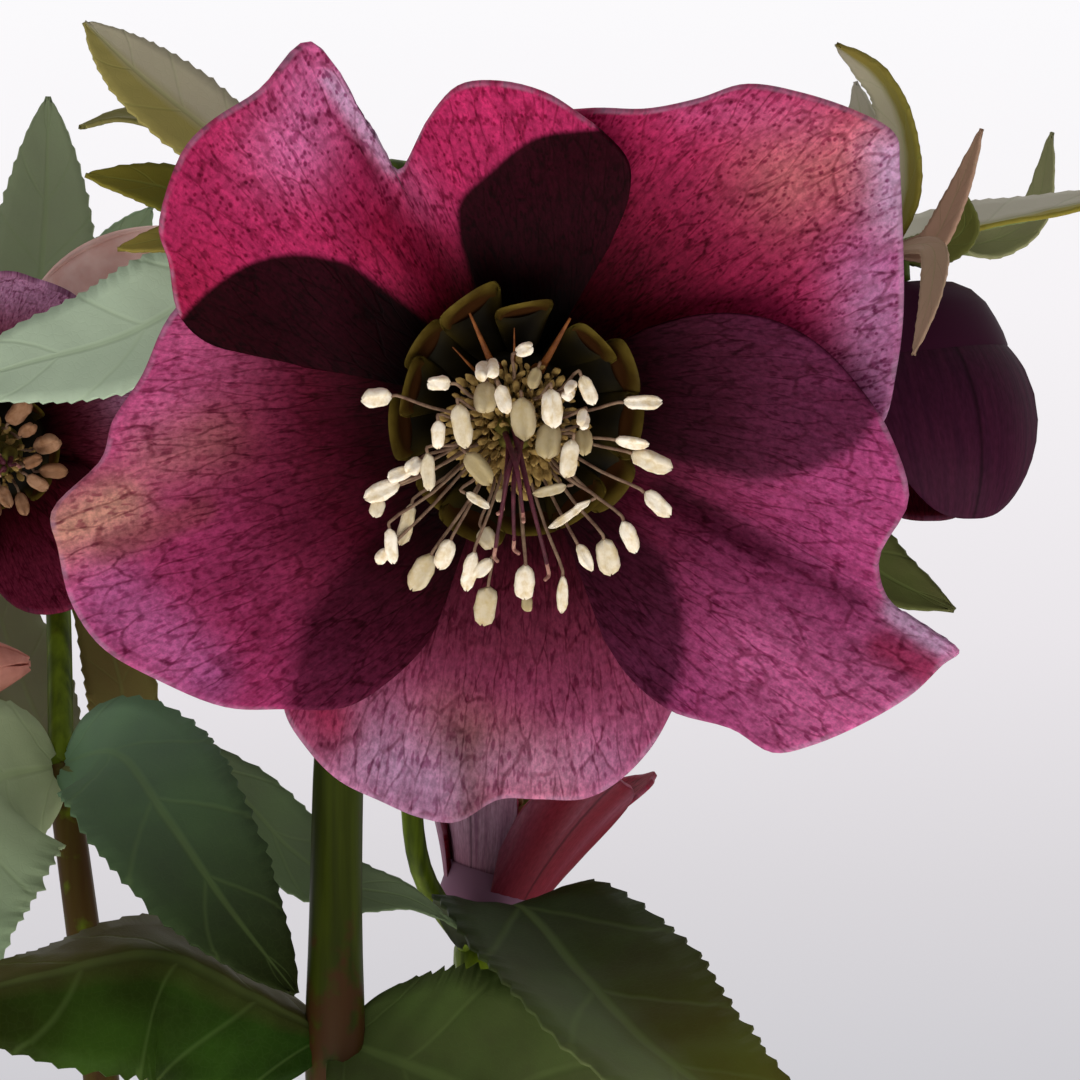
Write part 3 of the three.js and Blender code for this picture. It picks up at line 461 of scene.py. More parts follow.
# small waxy or powdery parts: two shades in fine grain, whose scale is in grains a metre
def grainy(name, light, dark, scale, roughness, through=0.0, depth=0.12, gloss=0.25):
    material, node, _ = newMaterial(name)
    place = node("TexCoord").outputs["Object"]
    grain, ground = mottled(node, place, scale, 5.0, 0.33, 0.67, dark, light, 0.6)
    skinOutput(node, ground, grain, 0.6, depth, roughness, gloss, through)
    return material


# pollen sacs, powdery with grains that are drawn 0.9 mm coarse: cream and matt, some older and tan
def pollenSkin(name, light, dark, tan):
    material, node, marks = newMaterial(name, "tan")
    place = node("TexCoord").outputs["Object"]
    grain, ground = mottled(node, place, 1100.0, 3.0, 0.3, 0.58, dark, light, 0.6)
    skinOutput(node, layCoats(node, ground, [(tan, marks["tan"])]), grain, 0.8, 0.12, 0.85, 0.05, 0.12)
    return material


# nectaries are thick waxy tissue with an olive lip, softly shiny; painted shade makes them nearly black below
# the lip, and their dark brown mouth is partly their own colour and partly painted shade in the hollow
def nectaryWax(name, light, dark, mouth):
    material, node, marks = newMaterial(name, "lip", "mouthDepth")
    place = node("TexCoord").outputs["Object"]
    grain, ground = mottled(node, place, 330.0, 4.0, 0.36, 0.64, dark, light) # 3 mm
    # painted shade: all but the lip is darkened to nearly black
    shade = node("MapRange", {0: marks["lip"], 3: 0.05, 4: 1.0})
    ground = node("VectorMath", {0: ground, "Scale": shade}, operation="SCALE")
    skinOutput(node, layCoats(node, ground, [(mouth, marks["mouthDepth"])]), grain, 0.4, 0.15, 0.45, 0.08, 0.08)
    return material


# unglazed fired clay, turned on a wheel: matt, with grit of 1 mm, faint turning lines and the pale bloom that
# salts leave
def terracotta(name):
    material, node, _ = newMaterial(name)
    place = node("TexCoord").outputs["Object"]
    grit, ground = mottled(node, place, 900.0, 4.0, 0.35, 0.65, "#a4563a", "#bf7350", 0.7)
    cloud = node("TexNoise", {"Vector": place, "Scale": 16.0, "Detail": 6.0, "Roughness": 0.65})
    bloom = node("MapRange", {0: cloud, 1: 0.52, 2: 0.75, 3: 0.0, 4: 0.6})
    damp = node("MapRange", {0: cloud, 1: 0.46, 2: 0.3, 3: 0.0, 4: 0.45})
    turning = node("Mapping", {"Vector": place, "Scale": (0.02, 0.02, 1.0)})
    lines = node("TexNoise", {"Vector": turning, "Scale": 420.0, "Detail": 3.0})
    height = node("Math", {0: grit, 1: lines}, operation="ADD")
    ground = layCoats(node, ground, [("#d8b49c", bloom), ("#83402b", damp)])
    skinOutput(node, ground, height, 0.5, 0.35, 0.85, 0.5, ior=1.5)
    return material


# dark maroon and wine red petals are the same tissue with darker grounds and tones
darkLook = {**petalLook, "ground": "#8a2c48", "rim": "#6d4058",
            "tones": {"violet": "#5c2450", "ruddy": "#45101e", "lilac": "#b886a8"}}
redLook = {**petalLook, "ground": "#a8304a", "rim": "#c88aa0",
           "tones": {"violet": "#6a2440", "ruddy": "#8f2438", "lilac": "#c79ab6"}}
wineInside = petalInside("wine_petal_inside", petalLook)
wineOutside = petalOutside("wine_petal_outside", "#c3a5bd", "#a5688c", "#8d8a4a", "#8a3050")
maroonInside = petalInside("maroon_petal_inside", darkLook)
maroonOutside = petalOutside("maroon_petal_outside", "#491a32", "#3a142a", "#2b1719", "#3a1026")
redInside = petalInside("red_petal_inside", redLook)
mauveOutside = petalOutside("mauve_petal_outside", "#b08a9f", "#8a6078", "#7a3a48", "#78202e")
stemLeafTop = leafTop("stem_leaf_top", leafLook)
stemLeafUnder = leafUnder("stem_leaf_under", "#8f9a63", "#6f7f45")
rootLeafTop = leafTop("root_leaf_top", {**leafLook, "veins": 13.0})
rootLeafUnder = leafUnder("root_leaf_under", "#7f9152", "#5f7638")
greenStem = stemSkin("green_stem", "#5d6e14", "#333f09", "#3d2212", "#1d2003")
# small parts, each with its light and dark shade, grains a metre and roughness
antherSkin = pollenSkin("anther_pollen", "#fff5e2", "#e3cda2", "#ad9a6c")
oldAnther = pollenSkin("old_anther", "#c8a080", "#8a6444", "#845a3e")
youngAnther = grainy("young_anther", "#b89a5c", "#7a5f34", 1500.0, 0.7, gloss=0.1)
filamentSkin = grainy("filament", "#9a8068", "#6a4f42", 900.0, 0.5, 0.2, gloss=0.1)
nectarySkin = nectaryWax("nectary_wax", "#6a5a22", "#45360f", "#3c220e")
spikeSkin = grainy("staminode", "#9a5c2a", "#6a3818", 900.0, 0.5, 0.2)
styleSkin = grainy("style_skin", "#58222f", "#361019", 900.0, 0.5, 0.1)
stigmaSkin = grainy("stigma", "#b98d7c", "#83524a", 1500.0, 0.7, 0.1, gloss=0.1)
podSkin = grainy("pod_skin", "#6a642c", "#463f1a", 900.0, 0.5, gloss=0.1)
budSkin = grainy("bud_skin", "#fff2ec", "#eccfc6", 260.0, 0.5, 0.65, gloss=0.1)
salmonBud = grainy("salmon_bud_skin", "#eba896", "#c07a6c", 260.0, 0.5, 0.35, gloss=0.1)
soilSkin = grainy("compost", "#3a2c20", "#17100b", 420.0, 0.95, 0.0, 0.8)
crumbSkin = grainy("compost_crumbs", "#4a3828", "#1c130c", 700.0, 0.95, 0.0, 0.4)
chipSkin = grainy("bark_chips", "#8a6a48", "#4c3522", 500.0, 0.9, 0.0, 0.4)
clay = terracotta("terracotta")
print("materials made")


# blooms

# the round foot of a bloom, in which the sepals are sunk
receptacle = {"radius": 5.6, "back": -2.4, "front": 4.4, "sunk": 1.2}
sepalRoot = receptacle["radius"] - receptacle["sunk"]
petalThickness = 0.5


# a cup's profile gives, by the length from the middle, how steeply it rises, how far out and how high it is
def roundCup(sphere):
    return lambda length: (length / sphere, sphere * np.sin(length / sphere),
                           sphere * (1 - np.cos(length / sphere)))


def funnel(first, bend):
    def profile(length):
        rise = first - bend * (length - sepalRoot)
        return (rise, sepalRoot + (math.sin(first) - np.sin(rise)) / bend,
                (np.cos(rise) - math.cos(first)) / bend)
    return profile


mainDips = [(116, 4.5), (-27, 4.0)] # folds that dip to the back: angle in degrees and depth in mm

mainBloom = {
    "place": (20, -50, 352), "direction": (0, -1, -0.268), "profile": roundCup(80), "layer": 1.6,
    "sepals": [
        {"layer": 2, "from": 62, "to": 166, "margin": [
            (8.8, 16.3), (10.6, 21.2), (10.6, 24.6), (8.4, 27.8), (6, 30), (3, 32), (-1.5, 33), (-5, 32.5),
            (-7.5, 29.3), (-10.2, 21.6), (-12.6, 25.4), (-14.6, 29.2), (-17.9, 34.2), (-23, 32.2),
            (-27.6, 30.2), (-31, 27.4), (-33.5, 20.5), (-32.5, 16.5), (-31.5, 11), (-29, 8.2), (-25, 6.6),
            (-19.5, 5)]},
        {"layer": 0, "from": -22, "to": 112, "margin": [
            (22.5, -6), (29, -4), (33.5, -0.5), (35, 5), (35.5, 11.5), (34.5, 24), (34, 27), (30.5, 29),
            (25.5, 30.5), (20.5, 31), (16.5, 29.5), (12, 28.5), (7, 28.5), (2, 27.5), (-2, 24), (-5, 20.5),
            (-5, 16.5)]},
        {"layer": 2, "from": -66, "to": 38, "margin": [
            (8.5, -21.5), (11, -25), (15, -28), (21, -29.5), (25, -31.5), (29, -30.5), (33.5, -28),
            (37, -25), (39.2, -22), (40.6, -20.7), (37, -18.6), (33.8, -16.4), (33.4, -13.4), (37.3, -6.5),
            (35.5, 0), (33, 3.5), (29, 7.5), (25, 9.5), (20.5, 10.1), (16.4, 9.6), (12.0, 8.1)]},
        {"layer": 0, "from": -150, "to": -42, "margin": [
            (-19.5, -18), (-21, -23), (-21.5, -27.5), (-19.5, -31), (-16.5, -34), (-12.5, -36), (-9, -37.5),
            (-5.5, -38), (-1.5, -36), (2, -36), (6.5, -36), (9.5, -34.5), (12.5, -31.5), (14.5, -28),
            (16, -24), (16, -19.5), (14.5, -14)]},
        {"layer": 1, "from": 120, "to": 248, "margin": [
            (-15.5, 15), (-20.5, 16.2), (-25.8, 15.4), (-31.6, 10.6), (-34.5, 4.5), (-37, 0.5), (-38, -3),
            (-43, -7.5), (-42.5, -11), (-41.5, -16), (-39, -20.5), (-34, -24), (-27.5, -27), (-22, -27.5),
            (-16, -27.5), (-11.5, -25), (-8, -21.5), (-6.5, -18)]},
    ],
    # the colour of each sepal: its tones, how strong its dots are, from where and up to where the painted light
    # grows, in mm from the middle, and how much painted shade a sepal behind it adds, with the softness of that edge
    # in mm
    "coats": [
        {"dotShare": 1.0, "light": (8, 19), "doubleShare": 1.0, "soft": 0.4},
        {"dotShare": 1.0, "light": (6, 33), "doubleShare": 1.0, "soft": 0.4},
        {"dotShare": 0.5, "violet": 0.6, "light": (5, 31), "doubleShare": 0.72, "soft": 0.9},
        {"dotShare": 0.3, "violet": 0.5, "tan": 0.1, "light": (7, 34), "doubleShare": 0.75, "soft": 0.6},
        {"dotShare": 0.5, "violet": 0.35, "light": (9, 37), "doubleShare": 0.65, "soft": 1.6},
    ],
    # zones of another tone: tone, sepal, from x, y, to x, y, radius, all in mm, and strength; the bright zones are
    # painted light, and the lilac and violet zones are partly the sepals' own colour and partly painted sheen
    "zones": [
        ("bright", 0, -20, 27, -18, 31, 4.5, 1.0), ("ruddy", 0, -31, 14, -27, 9, 5, 0.9),
        ("lilac", 0, -16.2, 30.5, -10.9, 22, 0.95, 0.9), ("ruddy", 0, -12, 17, -5, 11, 4, 1.0),
        ("bright", 0, -10, 21, -9, 19, 2.5, 0.5),
        ("ruddy", 1, -4, 20, 4, 24, 5, 0.6), ("bright", 1, 16, 29, 26, 28, 3.0, 0.3),
        ("lilac", 1, 33, 12, 33, 4, 4.0, 0.35), ("tan", 1, 25, 22, 32, 25, 5.5, 0.4),
        ("lilac", 1, 34, 25, 34.5, 20, 2.8, 1.0), ("violet", 1, 33.5, 15, 34, 2, 5, 0.9),
        ("bright", 2, 28, -28, 36, -24, 6, 1.0), ("bright", 2, 25, -23, 33, -28, 5.5, 0.8),
        ("lilac", 2, 35, -17.6, 38.8, -20.2, 1.5, 1.0), ("ruddy", 2, 34, -21, 38, -22.7, 1.6, 0.7),
        ("bright", 3, -13, -32, -8, -35, 5, 0.6), ("lilac", 3, -13, -32, -9, -35, 5, 0.85),
        ("lilac", 3, -2, -33, 8, -33, 3, 0.4), ("brown", 3, -5, -31, -4.5, -37.5, 2.4, 0.9),
        ("tan", 3, -6, -30, 3, -34, 5, 0.4), ("bright", 3, 3, -34, 12, -31, 4.5, 0.9),
        ("ruddy", 3, -19, -25, -17, -29, 3, 0.8),
        ("tan", 4, -42, -9, -37, -7.5, 3.2, 1.0), ("bright", 4, -30, 7, -26, 5, 4.5, 0.5),
        ("brown", 4, -38, -11.5, -29, -8.5, 1.5, 0.5), ("bright", 4, -33, 1, -30, 4, 4, 0.5),
        ("tan", 4, -33, -3, -28, -2, 3.5, 0.4), ("violet", 4, -38, -16, -30, -24, 5, 0.9),
        ("bright", 4, -40, -14, -33, -22, 4, 0.4),
        # these zones are painted shade along the folds and in the shadow of a neighbouring sepal
        ("crease", 0, -9.6, 20.6, -4, 11, 0.5, 0.35), ("crease", 0, -18.2, 30.5, -12.8, 21.3, 0.4, 0.5),
        ("crease", 0, -7.5, 16, -3, 9, 2.6, 0.5), ("crease", 0, -12, 10.5, -7, 7, 2.2, 0.5),
        ("crease", 1, 31, 3, 35, 6, 3, 0.3), ("crease", 2, 14, -7.5, 23, -13, 1.5, 0.75),
        ("crease", 2, 23, -13, 31, -17, 1.1, 0.55),
    ],
}
plainCoat = {"dotShare": 0.3, "light": (4, 18), "doubleShare": 0.6, "soft": 0.8}


# how far the main bloom's sepals stand out of their cup: waves, a fine frill and the dips
def mainRuffle(length, turn, layer):
    waves = 1.1 * (length / 40) ** 2 * np.sin(5 * turn + 0.8)
    frill = 0.35 * (length / 40) ** 3 * np.sin(17 * turn + 1.3 * layer) + 0.2 * np.sin(length * 0.5 + 9 * turn)
    rise = smoothStep(length, 10, 28)
    dips = sum(depth * rise * np.exp(-(((np.degrees(turn) - angle) / 8) ** 2)) for angle, depth in mainDips)
    return waves + 0.5 * frill * smoothStep(length, 8, 20) - dips


def onCup(profile, x, y, inset):
    turn = np.arctan2(y, x)
    rise, out, height = profile(np.hypot(x, y))
    reach = out - inset * np.sin(rise)
    return np.stack([reach * np.cos(turn), reach * np.sin(turn), height + inset * np.cos(rise)], axis=-1)


# signed distance in mm from flat places to an outline, positive inside
def insideBy(places, outline):
    a, b = outline, np.roll(outline, -1, axis=0)
    edge = b - a
    gap = places[:, None, :] - a[None]
    t = np.clip((gap * edge).sum(2) / (edge**2).sum(1), 0, 1)
    nearest = np.sqrt(((gap - t[..., None] * edge[None]) ** 2).sum(2)).min(1)
    crossing = ((a[None, :, 1] > places[:, None, 1]) != (b[None, :, 1] > places[:, None, 1]))
    reach = a[None, :, 0] + gap[..., 1] * edge[None, :, 0] / np.where(edge[:, 1] == 0, 1e-9, edge[:, 1])[None]
    inside = (crossing & (places[:, None, 0] < reach)).sum(1) % 2 == 1
    return np.where(inside, nearest, -nearest)


# the flat outline of a sepal, from its foot round its margin
def flatSepal(sepal, columns):
    margin = smoothLine(sepal["margin"], columns)
    turns = np.radians(np.linspace(sepal["from"], sepal["to"], columns))
    foot = sepalRoot * np.stack([np.cos(turns), np.sin(turns)], axis=1)
    return foot, margin


# how much of a zone is at each place: full on the line from a to b and less away from it
def zoneShare(places, ax, ay, bx, by, radius, strength):
    start, way = np.array([ax, ay]), np.array([bx - ax, by - ay])
    part = np.clip((places - start) @ way / (way @ way), 0, 1)
    gap = places - start - part[:, None] * way
    edge = 1 if radius > 2 else 2 # narrow strips end crisply
    return strength * np.exp(-(((gap**2).sum(1) / radius**2) ** edge))


def coatMarks(places, number, bloom):
    coat = bloom["coats"][number]
    near, far = coat["light"]
    marks = {"depth": np.clip((np.hypot(*places.T) - near) / (far - near), 0, 1)}
    for key in ("dotShare", "doubleShare"):
        marks[key] = np.full(len(places), coat[key])
    for tone in (*petalLook["tones"], "crease"):
        share = np.full(len(places), float(coat.get(tone, 0)))
        for zone in bloom["zones"]:
            if zone[:2] == (tone, number):
                share = np.maximum(share, zoneShare(places, *zone[2:]))
        marks[tone + "Tone"] = share
    return marks


def bloomSepals(piece, bloom, ruffle, rows, columns):
    flats = [flatSepal(sepal, columns) for sepal in bloom["sepals"]]
    t = np.linspace(0, 1, rows)[:, None, None]
    for number, (sepal, (foot, margin)) in enumerate(zip(bloom["sepals"], flats)):
        flat = foot[None] * (1 - t) + margin[None] * t
        x, y = flat[..., 0], flat[..., 1]
        length, turn = np.hypot(x, y), np.arctan2(y, x)
        inset = sepal["layer"] * bloom["layer"] + ruffle(length, turn, sepal["layer"])
        places = flat.reshape(-1, 2)
        # the overlap with the sepals behind says where the painted shade of doubled tissue goes
        behind = np.full(len(places), -9.0) # how far each place lies within a sepal behind
        for other, (otherFoot, otherMargin) in zip(bloom["sepals"], flats):
            if other["layer"] < sepal["layer"]:
                behind = np.maximum(behind, insideBy(places, np.vstack([otherMargin, otherFoot[::-1]])))
        middle = math.radians((sepal["from"] + sepal["to"]) / 2)
        away = (turn - middle + np.pi) % (2 * np.pi) - np.pi
        sheetPatch(piece, onCup(bloom["profile"], x, y, inset), petalThickness, {
            "flatX": x, "flatY": y, "behind": behind / bloom["coats"][number]["soft"],
            # the veins fan out less than the sepal does, and no two sepals have the same pattern
            "fanAcross": away * 25 * (length / 25) ** 0.4, "fanAlong": length,
            "sepalNumber": np.full(x.shape, 7.0 * number),
            "fromMargin": -0.6 * (t[..., 0] - 1) * np.hypot(*(margin - foot).T)[None],
            **coatMarks(places, number, bloom)})


plainPlace = {"fanAcross": 3.0, "fanAlong": 16.0} # away from the fold and the foot of a sepal


# where the shoulders are broad, the feet of the sepals bulge beyond the receptacle
def receptaclePatch(piece, shoulders=()):
    radius, back, front = (receptacle[key] for key in ("radius", "back", "front"))
    if shoulders:
        turnedPatch(piece, [(0, back), *shoulders, (0, front - 0.2)], 48, 1, plainPlace)
    profile = [(0, back), (radius * 0.45, back), (radius * 0.62, back + 0.3), (radius * 0.8, back * 0.7),
               (radius * 0.98, back / 4), (radius, 0.6), (radius * 0.97, front - 0.6), (radius * 0.8, front),
               (0, front)]
    turnedPatch(piece, profile, 32, 2, plainPlace)


bloomPiece = newPiece()
bloomSepals(bloomPiece, mainBloom, mainRuffle, 52, 96)
receptaclePatch(bloomPiece)
placePiece(bloomPiece, mainBloom["place"], bloomAxes(mainBloom))
mainSepals = makeObject("main_bloom_sepals", bloomPiece, [wineInside, wineOutside, podSkin])
finishPiece(mainSepals, "wine_sepal", "main_sepals")
print("main sepals:", len(mainSepals.data.polygons), "faces")


# stamens: threads with an anther at the end of each, by geometry nodes

# one anther: two pollen sacs side by side with a groove between, 1 long on Z from its foot, 1 wide on X
def antherShape(name, sides, rows):
    turns = np.linspace(0, 2 * np.pi, sides, endpoint=False)
    wide, deep = [np.sign(way) * np.abs(way) ** 0.7 for way in (np.cos(turns), np.sin(turns))]
    wide = wide / 2
    groove = np.exp(-((wide / 0.12) ** 2))
    deep = deep * 0.34 * (1 - 0.6 * groove)
    points = [[(0, 0, 0.01)]]
    for t in np.linspace(0, 1, rows):
        swell = (1 - abs(2 * t - 1) ** 3.0) ** 0.5 if 0 < t < 1 else 0.2
        notch = 0.07 * groove * (1 if t > 0.5 else -0.6) * abs(2 * t - 1) ** 2
        points.append(np.stack([wide * swell, deep * swell, t - notch], axis=1))
    shape = newPiece()
    addPatch(shape, np.vstack([*points, [(0, 0, 0.95)]]), ringFaces(rows, sides), 0)
    return makeObject(name, shape, [])


# the threads are swept along the edges; an anther is set at each marked end and turned by its own marks
def stamenNodes(name, anther, threadSkin, tipSkin):
    group, node, given = newNodeGroup(name, [("Thread Radius", "Float", 0.2 * mm), ("Unevenness", "Float", 0.2 * mm),
                                             ("Grain Size", "Float", 1.2 * mm)])
    marks = {key: node("InputNamedAttribute", {"Name": key}, data_type=kind)
             for key, kind in zip(("tip", "hang", "broad", "size"), ("FLOAT", *["FLOAT_VECTOR"] * 3))}
    threads = node("MeshToCurve", {"Mesh": given})
    profile = node("CurvePrimitiveCircle", {"Resolution": 6, "Radius": given.outputs["Thread Radius"]})
    threads = node("CurveToMesh", {"Curve": threads, "Profile Curve": profile, "Fill Caps": True})
    isTip = node("FunctionNodeCompare", {0: marks["tip"], 1: 0.5}, operation="GREATER_THAN")
    aim = node("FunctionNodeAlignRotationToVector", {"Vector": marks["hang"]}, axis="Z")
    turned = node("FunctionNodeAlignRotationToVector", {"Rotation": aim, "Vector": marks["broad"]},
                  axis="Y", pivot_axis="Z")
    shape = node("ObjectInfo", {"Object": anther}).outputs["Geometry"]
    placed = node("InstanceOnPoints", {"Points": given, "Selection": isTip, "Instance": shape,
                                       "Rotation": turned, "Scale": marks["size"]})
    real = node("RealizeInstances", {"Geometry": placed})
    # pollen sacs burst and shrink unevenly
    perMetre = node("ShaderNodeMath", {0: 1.0, 1: given.outputs["Grain Size"]}, operation="DIVIDE")
    noise = node("ShaderNodeTexNoise", {"Scale": perMetre, "Detail": 2.0}).outputs["Color"]
    centred = node("ShaderNodeVectorMath", {0: noise, 1: (0.5, 0.5, 0.5)}, operation="SUBTRACT")
    offset = node("ShaderNodeVectorMath", {0: centred, "Scale": given.outputs["Unevenness"]}, operation="SCALE")
    uneven = node("SetPosition", {"Geometry": real, "Offset": offset})
    done = [node("SetMaterial", {"Geometry": part, "Material": skin})
            for part, skin in ((threads, threadSkin), (uneven, tipSkin))]
    smooth = node("SetShadeSmooth", {"Geometry": node("JoinGeometry", {0: done})})
    node("NodeGroupOutput", {0: smooth})
    return group


antherSolid = antherShape("anther", 20, 9)
youngAntherSolid = antherShape("young_anther", 8, 5)
ripeStamens = stamenNodes("ripe stamens", antherSolid, filamentSkin, antherSkin)
oldStamens = stamenNodes("old stamens", antherSolid, filamentSkin, oldAnther)
youngStamens = stamenNodes("young stamens", youngAntherSolid, youngAnther, youngAnther)

# the knob that the stamens stand on: its foot lies clear of the receptacle, and theirs are in a ring on it
boss = {"radius": 3.1, "height": 3.4, "clear": 0.3, "ring": 2.3}

# the anthers as the bloom is seen from the front: x and y of the middle in mm, the way it points in
# degrees, its length and width, how far it points to the front, from 0 to 1, and how tan it is
mainAnthers = [
    (-12, 0, 185, 2.6, 1.8, 0.2, 0.1), (-6.5, 1.2, 175, 2.1, 1.4, 0.3, 0), (-2.3, 2.4, 265, 3, 2.2, 0.9, 0.1),
    (0.9, 4.1, 30, 2, 1.3, 0.5, 0), (-2.5, 0, 270, 3, 2.1, 0.5, 0.8), (-4.5, -2.5, 280, 4, 1.8, 0.1, 0.5),
    (-6.6, -3.2, 270, 2.5, 1.25, 0.2, 0), (-0.9, -0.2, 290, 2.6, 1.4, 0.4, 0.1),
    (0.8, -1.8, 275, 3.8, 2.3, 0.2, 0.8), (3.3, -1, 273, 3.4, 2, 0.2, 0.1), (4.8, 0.6, 200, 2.4, 1.7, 0.85, 0),
    (6.4, 0.6, 295, 2.8, 1.4, 0.2, 0.1), (6, -1.9, 250, 2.3, 1.5, 0.75, 0), (11.2, -0.4, 0, 3.4, 1.4, 0.1, 0),
    (10.3, -3.9, 352, 3, 1.2, 0.2, 0), (12, -5.5, 338, 3.8, 1.9, 0.1, 0.35),
    (12.5, -9.2, 318, 3.1, 1.5, 0.1, 0.1), (6.1, -3.8, 270, 2.5, 1.6, 0.5, 0.9),
    (4.8, -5.3, 260, 3.5, 1.7, 0.1, 0.3), (3, -3.7, 265, 3.2, 2.4, 0.4, 0.85),
    (4.9, -10.1, 217, 4.6, 0.85, 0, 0.25), (10.1, -12.1, 290, 3.1, 1.5, 0.1, 0.1),
    (8.2, -13.9, 282, 3.5, 2, 0, 0.4), (6.2, -13.9, 298, 2.7, 1.2, 0.1, 0.1),
    (4.2, -17.2, 269, 3.7, 1.1, 0, 0.25), (0.9, -16.1, 268, 3.3, 1.9, 0, 0.2),
    (1.1, -18, 265, 1.5, 1, 0.2, 0.9), (-2.6, -18.2, 262, 3.8, 2.1, 0, 0.65),
    (-3.9, -15.1, 258, 3.6, 1.4, 0.1, 0), (-2.8, -14.8, 228, 2.2, 1.2, 0.2, 0.1),
    (-2.4, -12.2, 300, 2, 1.7, 0.4, 0.6), (-6.1, -13.6, 248, 3, 1.6, 0, 0.15),
    (-8.2, -15.2, 243, 3.8, 2, 0, 0.65), (-10.8, -12.9, 275, 3.3, 1.3, 0.1, 0),
    (-11.6, -13.8, 230, 1.6, 1.2, 0.2, 0), (-9.5, -11, 255, 3.9, 1.4, 0.1, 0.6),
    (-11.6, -8.1, 205, 3.4, 1.7, 0.1, 0.1), (-12, -9.5, 250, 1.7, 1.4, 0.3, 0.45),
    (-10, -6.6, 200, 2.3, 1.4, 0.2, 0), (-8.7, -5.9, 220, 1.8, 1.5, 0.5, 0),
    (-7.5, -6.4, 272, 3.4, 1.3, 0.1, 0.5), (-3.2, -8.9, 330, 2.5, 0.85, 0.2, 0.3),
    (-3.1, -6.1, 310, 3.5, 1.9, 0.2, 0.9), (3.1, -8, 195, 3.2, 1, 0.1, 0.7),
    (-1.2, -8.5, 250, 1.3, 0.9, 0.5, 0.8), (1.8, 1.7, 250, 2, 1.3, 0.4, 0.9),
]


# turns places seen from the front, in mm, into the bloom's own frame, at a height above its foot
def seenFromFront(direction, x, y, height):
    way = unit(direction)
    return np.array([x, (y - way[2] * height) / math.hypot(way[0], way[1]), height])


# the stamens of one bloom, each with its middle, the way it points, its sizes and tan share
def stamenRows(direction, anthers):
    rows = []
    for x, y, degrees, long, wide, towards, tan in anthers:
        height = 15.8 - 0.2 * math.hypot(x, y + 3) - 1.6 * (tan > 0.5)
        turn = math.radians(degrees)
        flat = math.cos(towards * math.pi / 2)
        way = unit([flat * math.cos(turn), flat * math.sin(turn), math.sin(towards * math.pi / 2) - 0.15])
        rows.append((seenFromFront(direction, x, y, height), way, long, wide, tan))
    return rows


def ringRows(count, near, far, low, high, long, wide):
    rows = []
    for k in range(count):
        out = near + (far - near) * math.sqrt((k + 0.5) / count)
        turn = k * math.pi * (3 - math.sqrt(5))
        middle = np.array([out * math.cos(turn), out * math.sin(turn), high - (high - low) * out / far])
        way = unit([math.cos(turn), math.sin(turn), 1.6 - 1.2 * out / far] + 0.3 * rng.normal(size=3))
        size = 1 + 0.2 * rng.normal()
        rows.append((middle, way, long * size, wide * size, 0.4 + 0.4 * rng.random()))
    return rows


# the threads of one bloom as a mesh of edges, marked where each ends and how its anther lies
def threadMesh(name, rows, place, axes, steps):
    points, edges = [], []
    marks = {key: [] for key in ("tip", "tan", "hang", "broad", "size")}
    base = receptacle["front"] + boss["clear"] + boss["height"]
    for k, (middle, way, long, wide, tan) in enumerate(rows):
        end = middle - way * long / 2
        turn = math.atan2(end[1], end[0]) + 0.3 * (rng.random() - 0.5)
        foot = np.array([boss["ring"] * math.cos(turn), boss["ring"] * math.sin(turn), base - 0.7 * (k % 4)])
        bend = foot * 0.42 + end * 0.58 + [0, 0, 0.9 + 0.8 * rng.random()]
        line = smoothLine([foot, bend, end - way * 0.5, end], steps + 1)
        broad = unit(np.cross(way, np.cross([0.2 * rng.normal(), 0.2 * rng.normal(), 1], way)))
        edges.extend((len(points) + i, len(points) + i + 1) for i in range(steps))
        points.extend(line)
        marks["tip"].extend([0.0] * steps + [1.0])
        for key, value in (("tan", tan), ("hang", way @ axes), ("broad", broad @ axes),
                           ("size", (0.94 * wide, 0.94 * wide, long))):
            marks[key].extend([value] * (steps + 1))
    mesh = bpy.data.meshes.new(name)
    mesh.from_pydata(((np.asarray(place) + np.array(points) @ axes) * mm).tolist(), edges, [])
    addMarks(mesh, marks)
    return addObject(name, mesh)


def joinInto(name, pieces):
    bpy.ops.object.select_all(action="DESELECT")
    for piece in pieces:
        piece.select_set(True)
    bpy.context.view_layer.objects.active = pieces[0]
    bpy.ops.object.join()
    pieces[0].name = name
    pieces[0].data.name = name
    return pieces[0]


def makeStamens(name, bloom, rows, youngRows, steps, ripeNodes=ripeStamens):
    axes = bloomAxes(bloom)
    ripe = applyNodeGroup(name, threadMesh(name, rows, bloom["place"], axes, steps), ripeNodes,
                          {"Thread Radius": 0.15 * mm, "Unevenness": 0.5 * mm, "Grain Size": 1.1 * mm})
    young = applyNodeGroup(name, threadMesh(name, youngRows, bloom["place"], axes, 3), youngStamens,
                           {"Thread Radius": 0.16 * mm, "Unevenness": 0.35 * mm, "Grain Size": 0.5 * mm})
    knob = newPiece()
    floor = receptacle["front"] + boss["clear"]
    turnedPatch(knob, [(0, floor), (boss["radius"] * 0.9, floor), (boss["radius"], floor + 0.3),
                       (boss["radius"] * 0.85, floor + boss["height"] * 0.8), (1.5, floor + boss["height"]),
                       (0, floor + boss["height"] + 0.1)], 24, 0)
    placePiece(knob, bloom["place"], axes)
    foot = makeObject(name, knob, [podSkin])
    return joinInto(name, [ripe, young, foot])


mainStamens = makeStamens("main_bloom_stamens", mainBloom, stamenRows(mainBloom["direction"], mainAnthers),
                          ringRows(150, 0.6, 6.2, 9.2, 12.6, 1.25, 0.62), 9)
finishPiece(mainStamens, "stamen", "main_stamens")


# nectaries: a ring of pouches with a curled outer lip, by geometry nodes

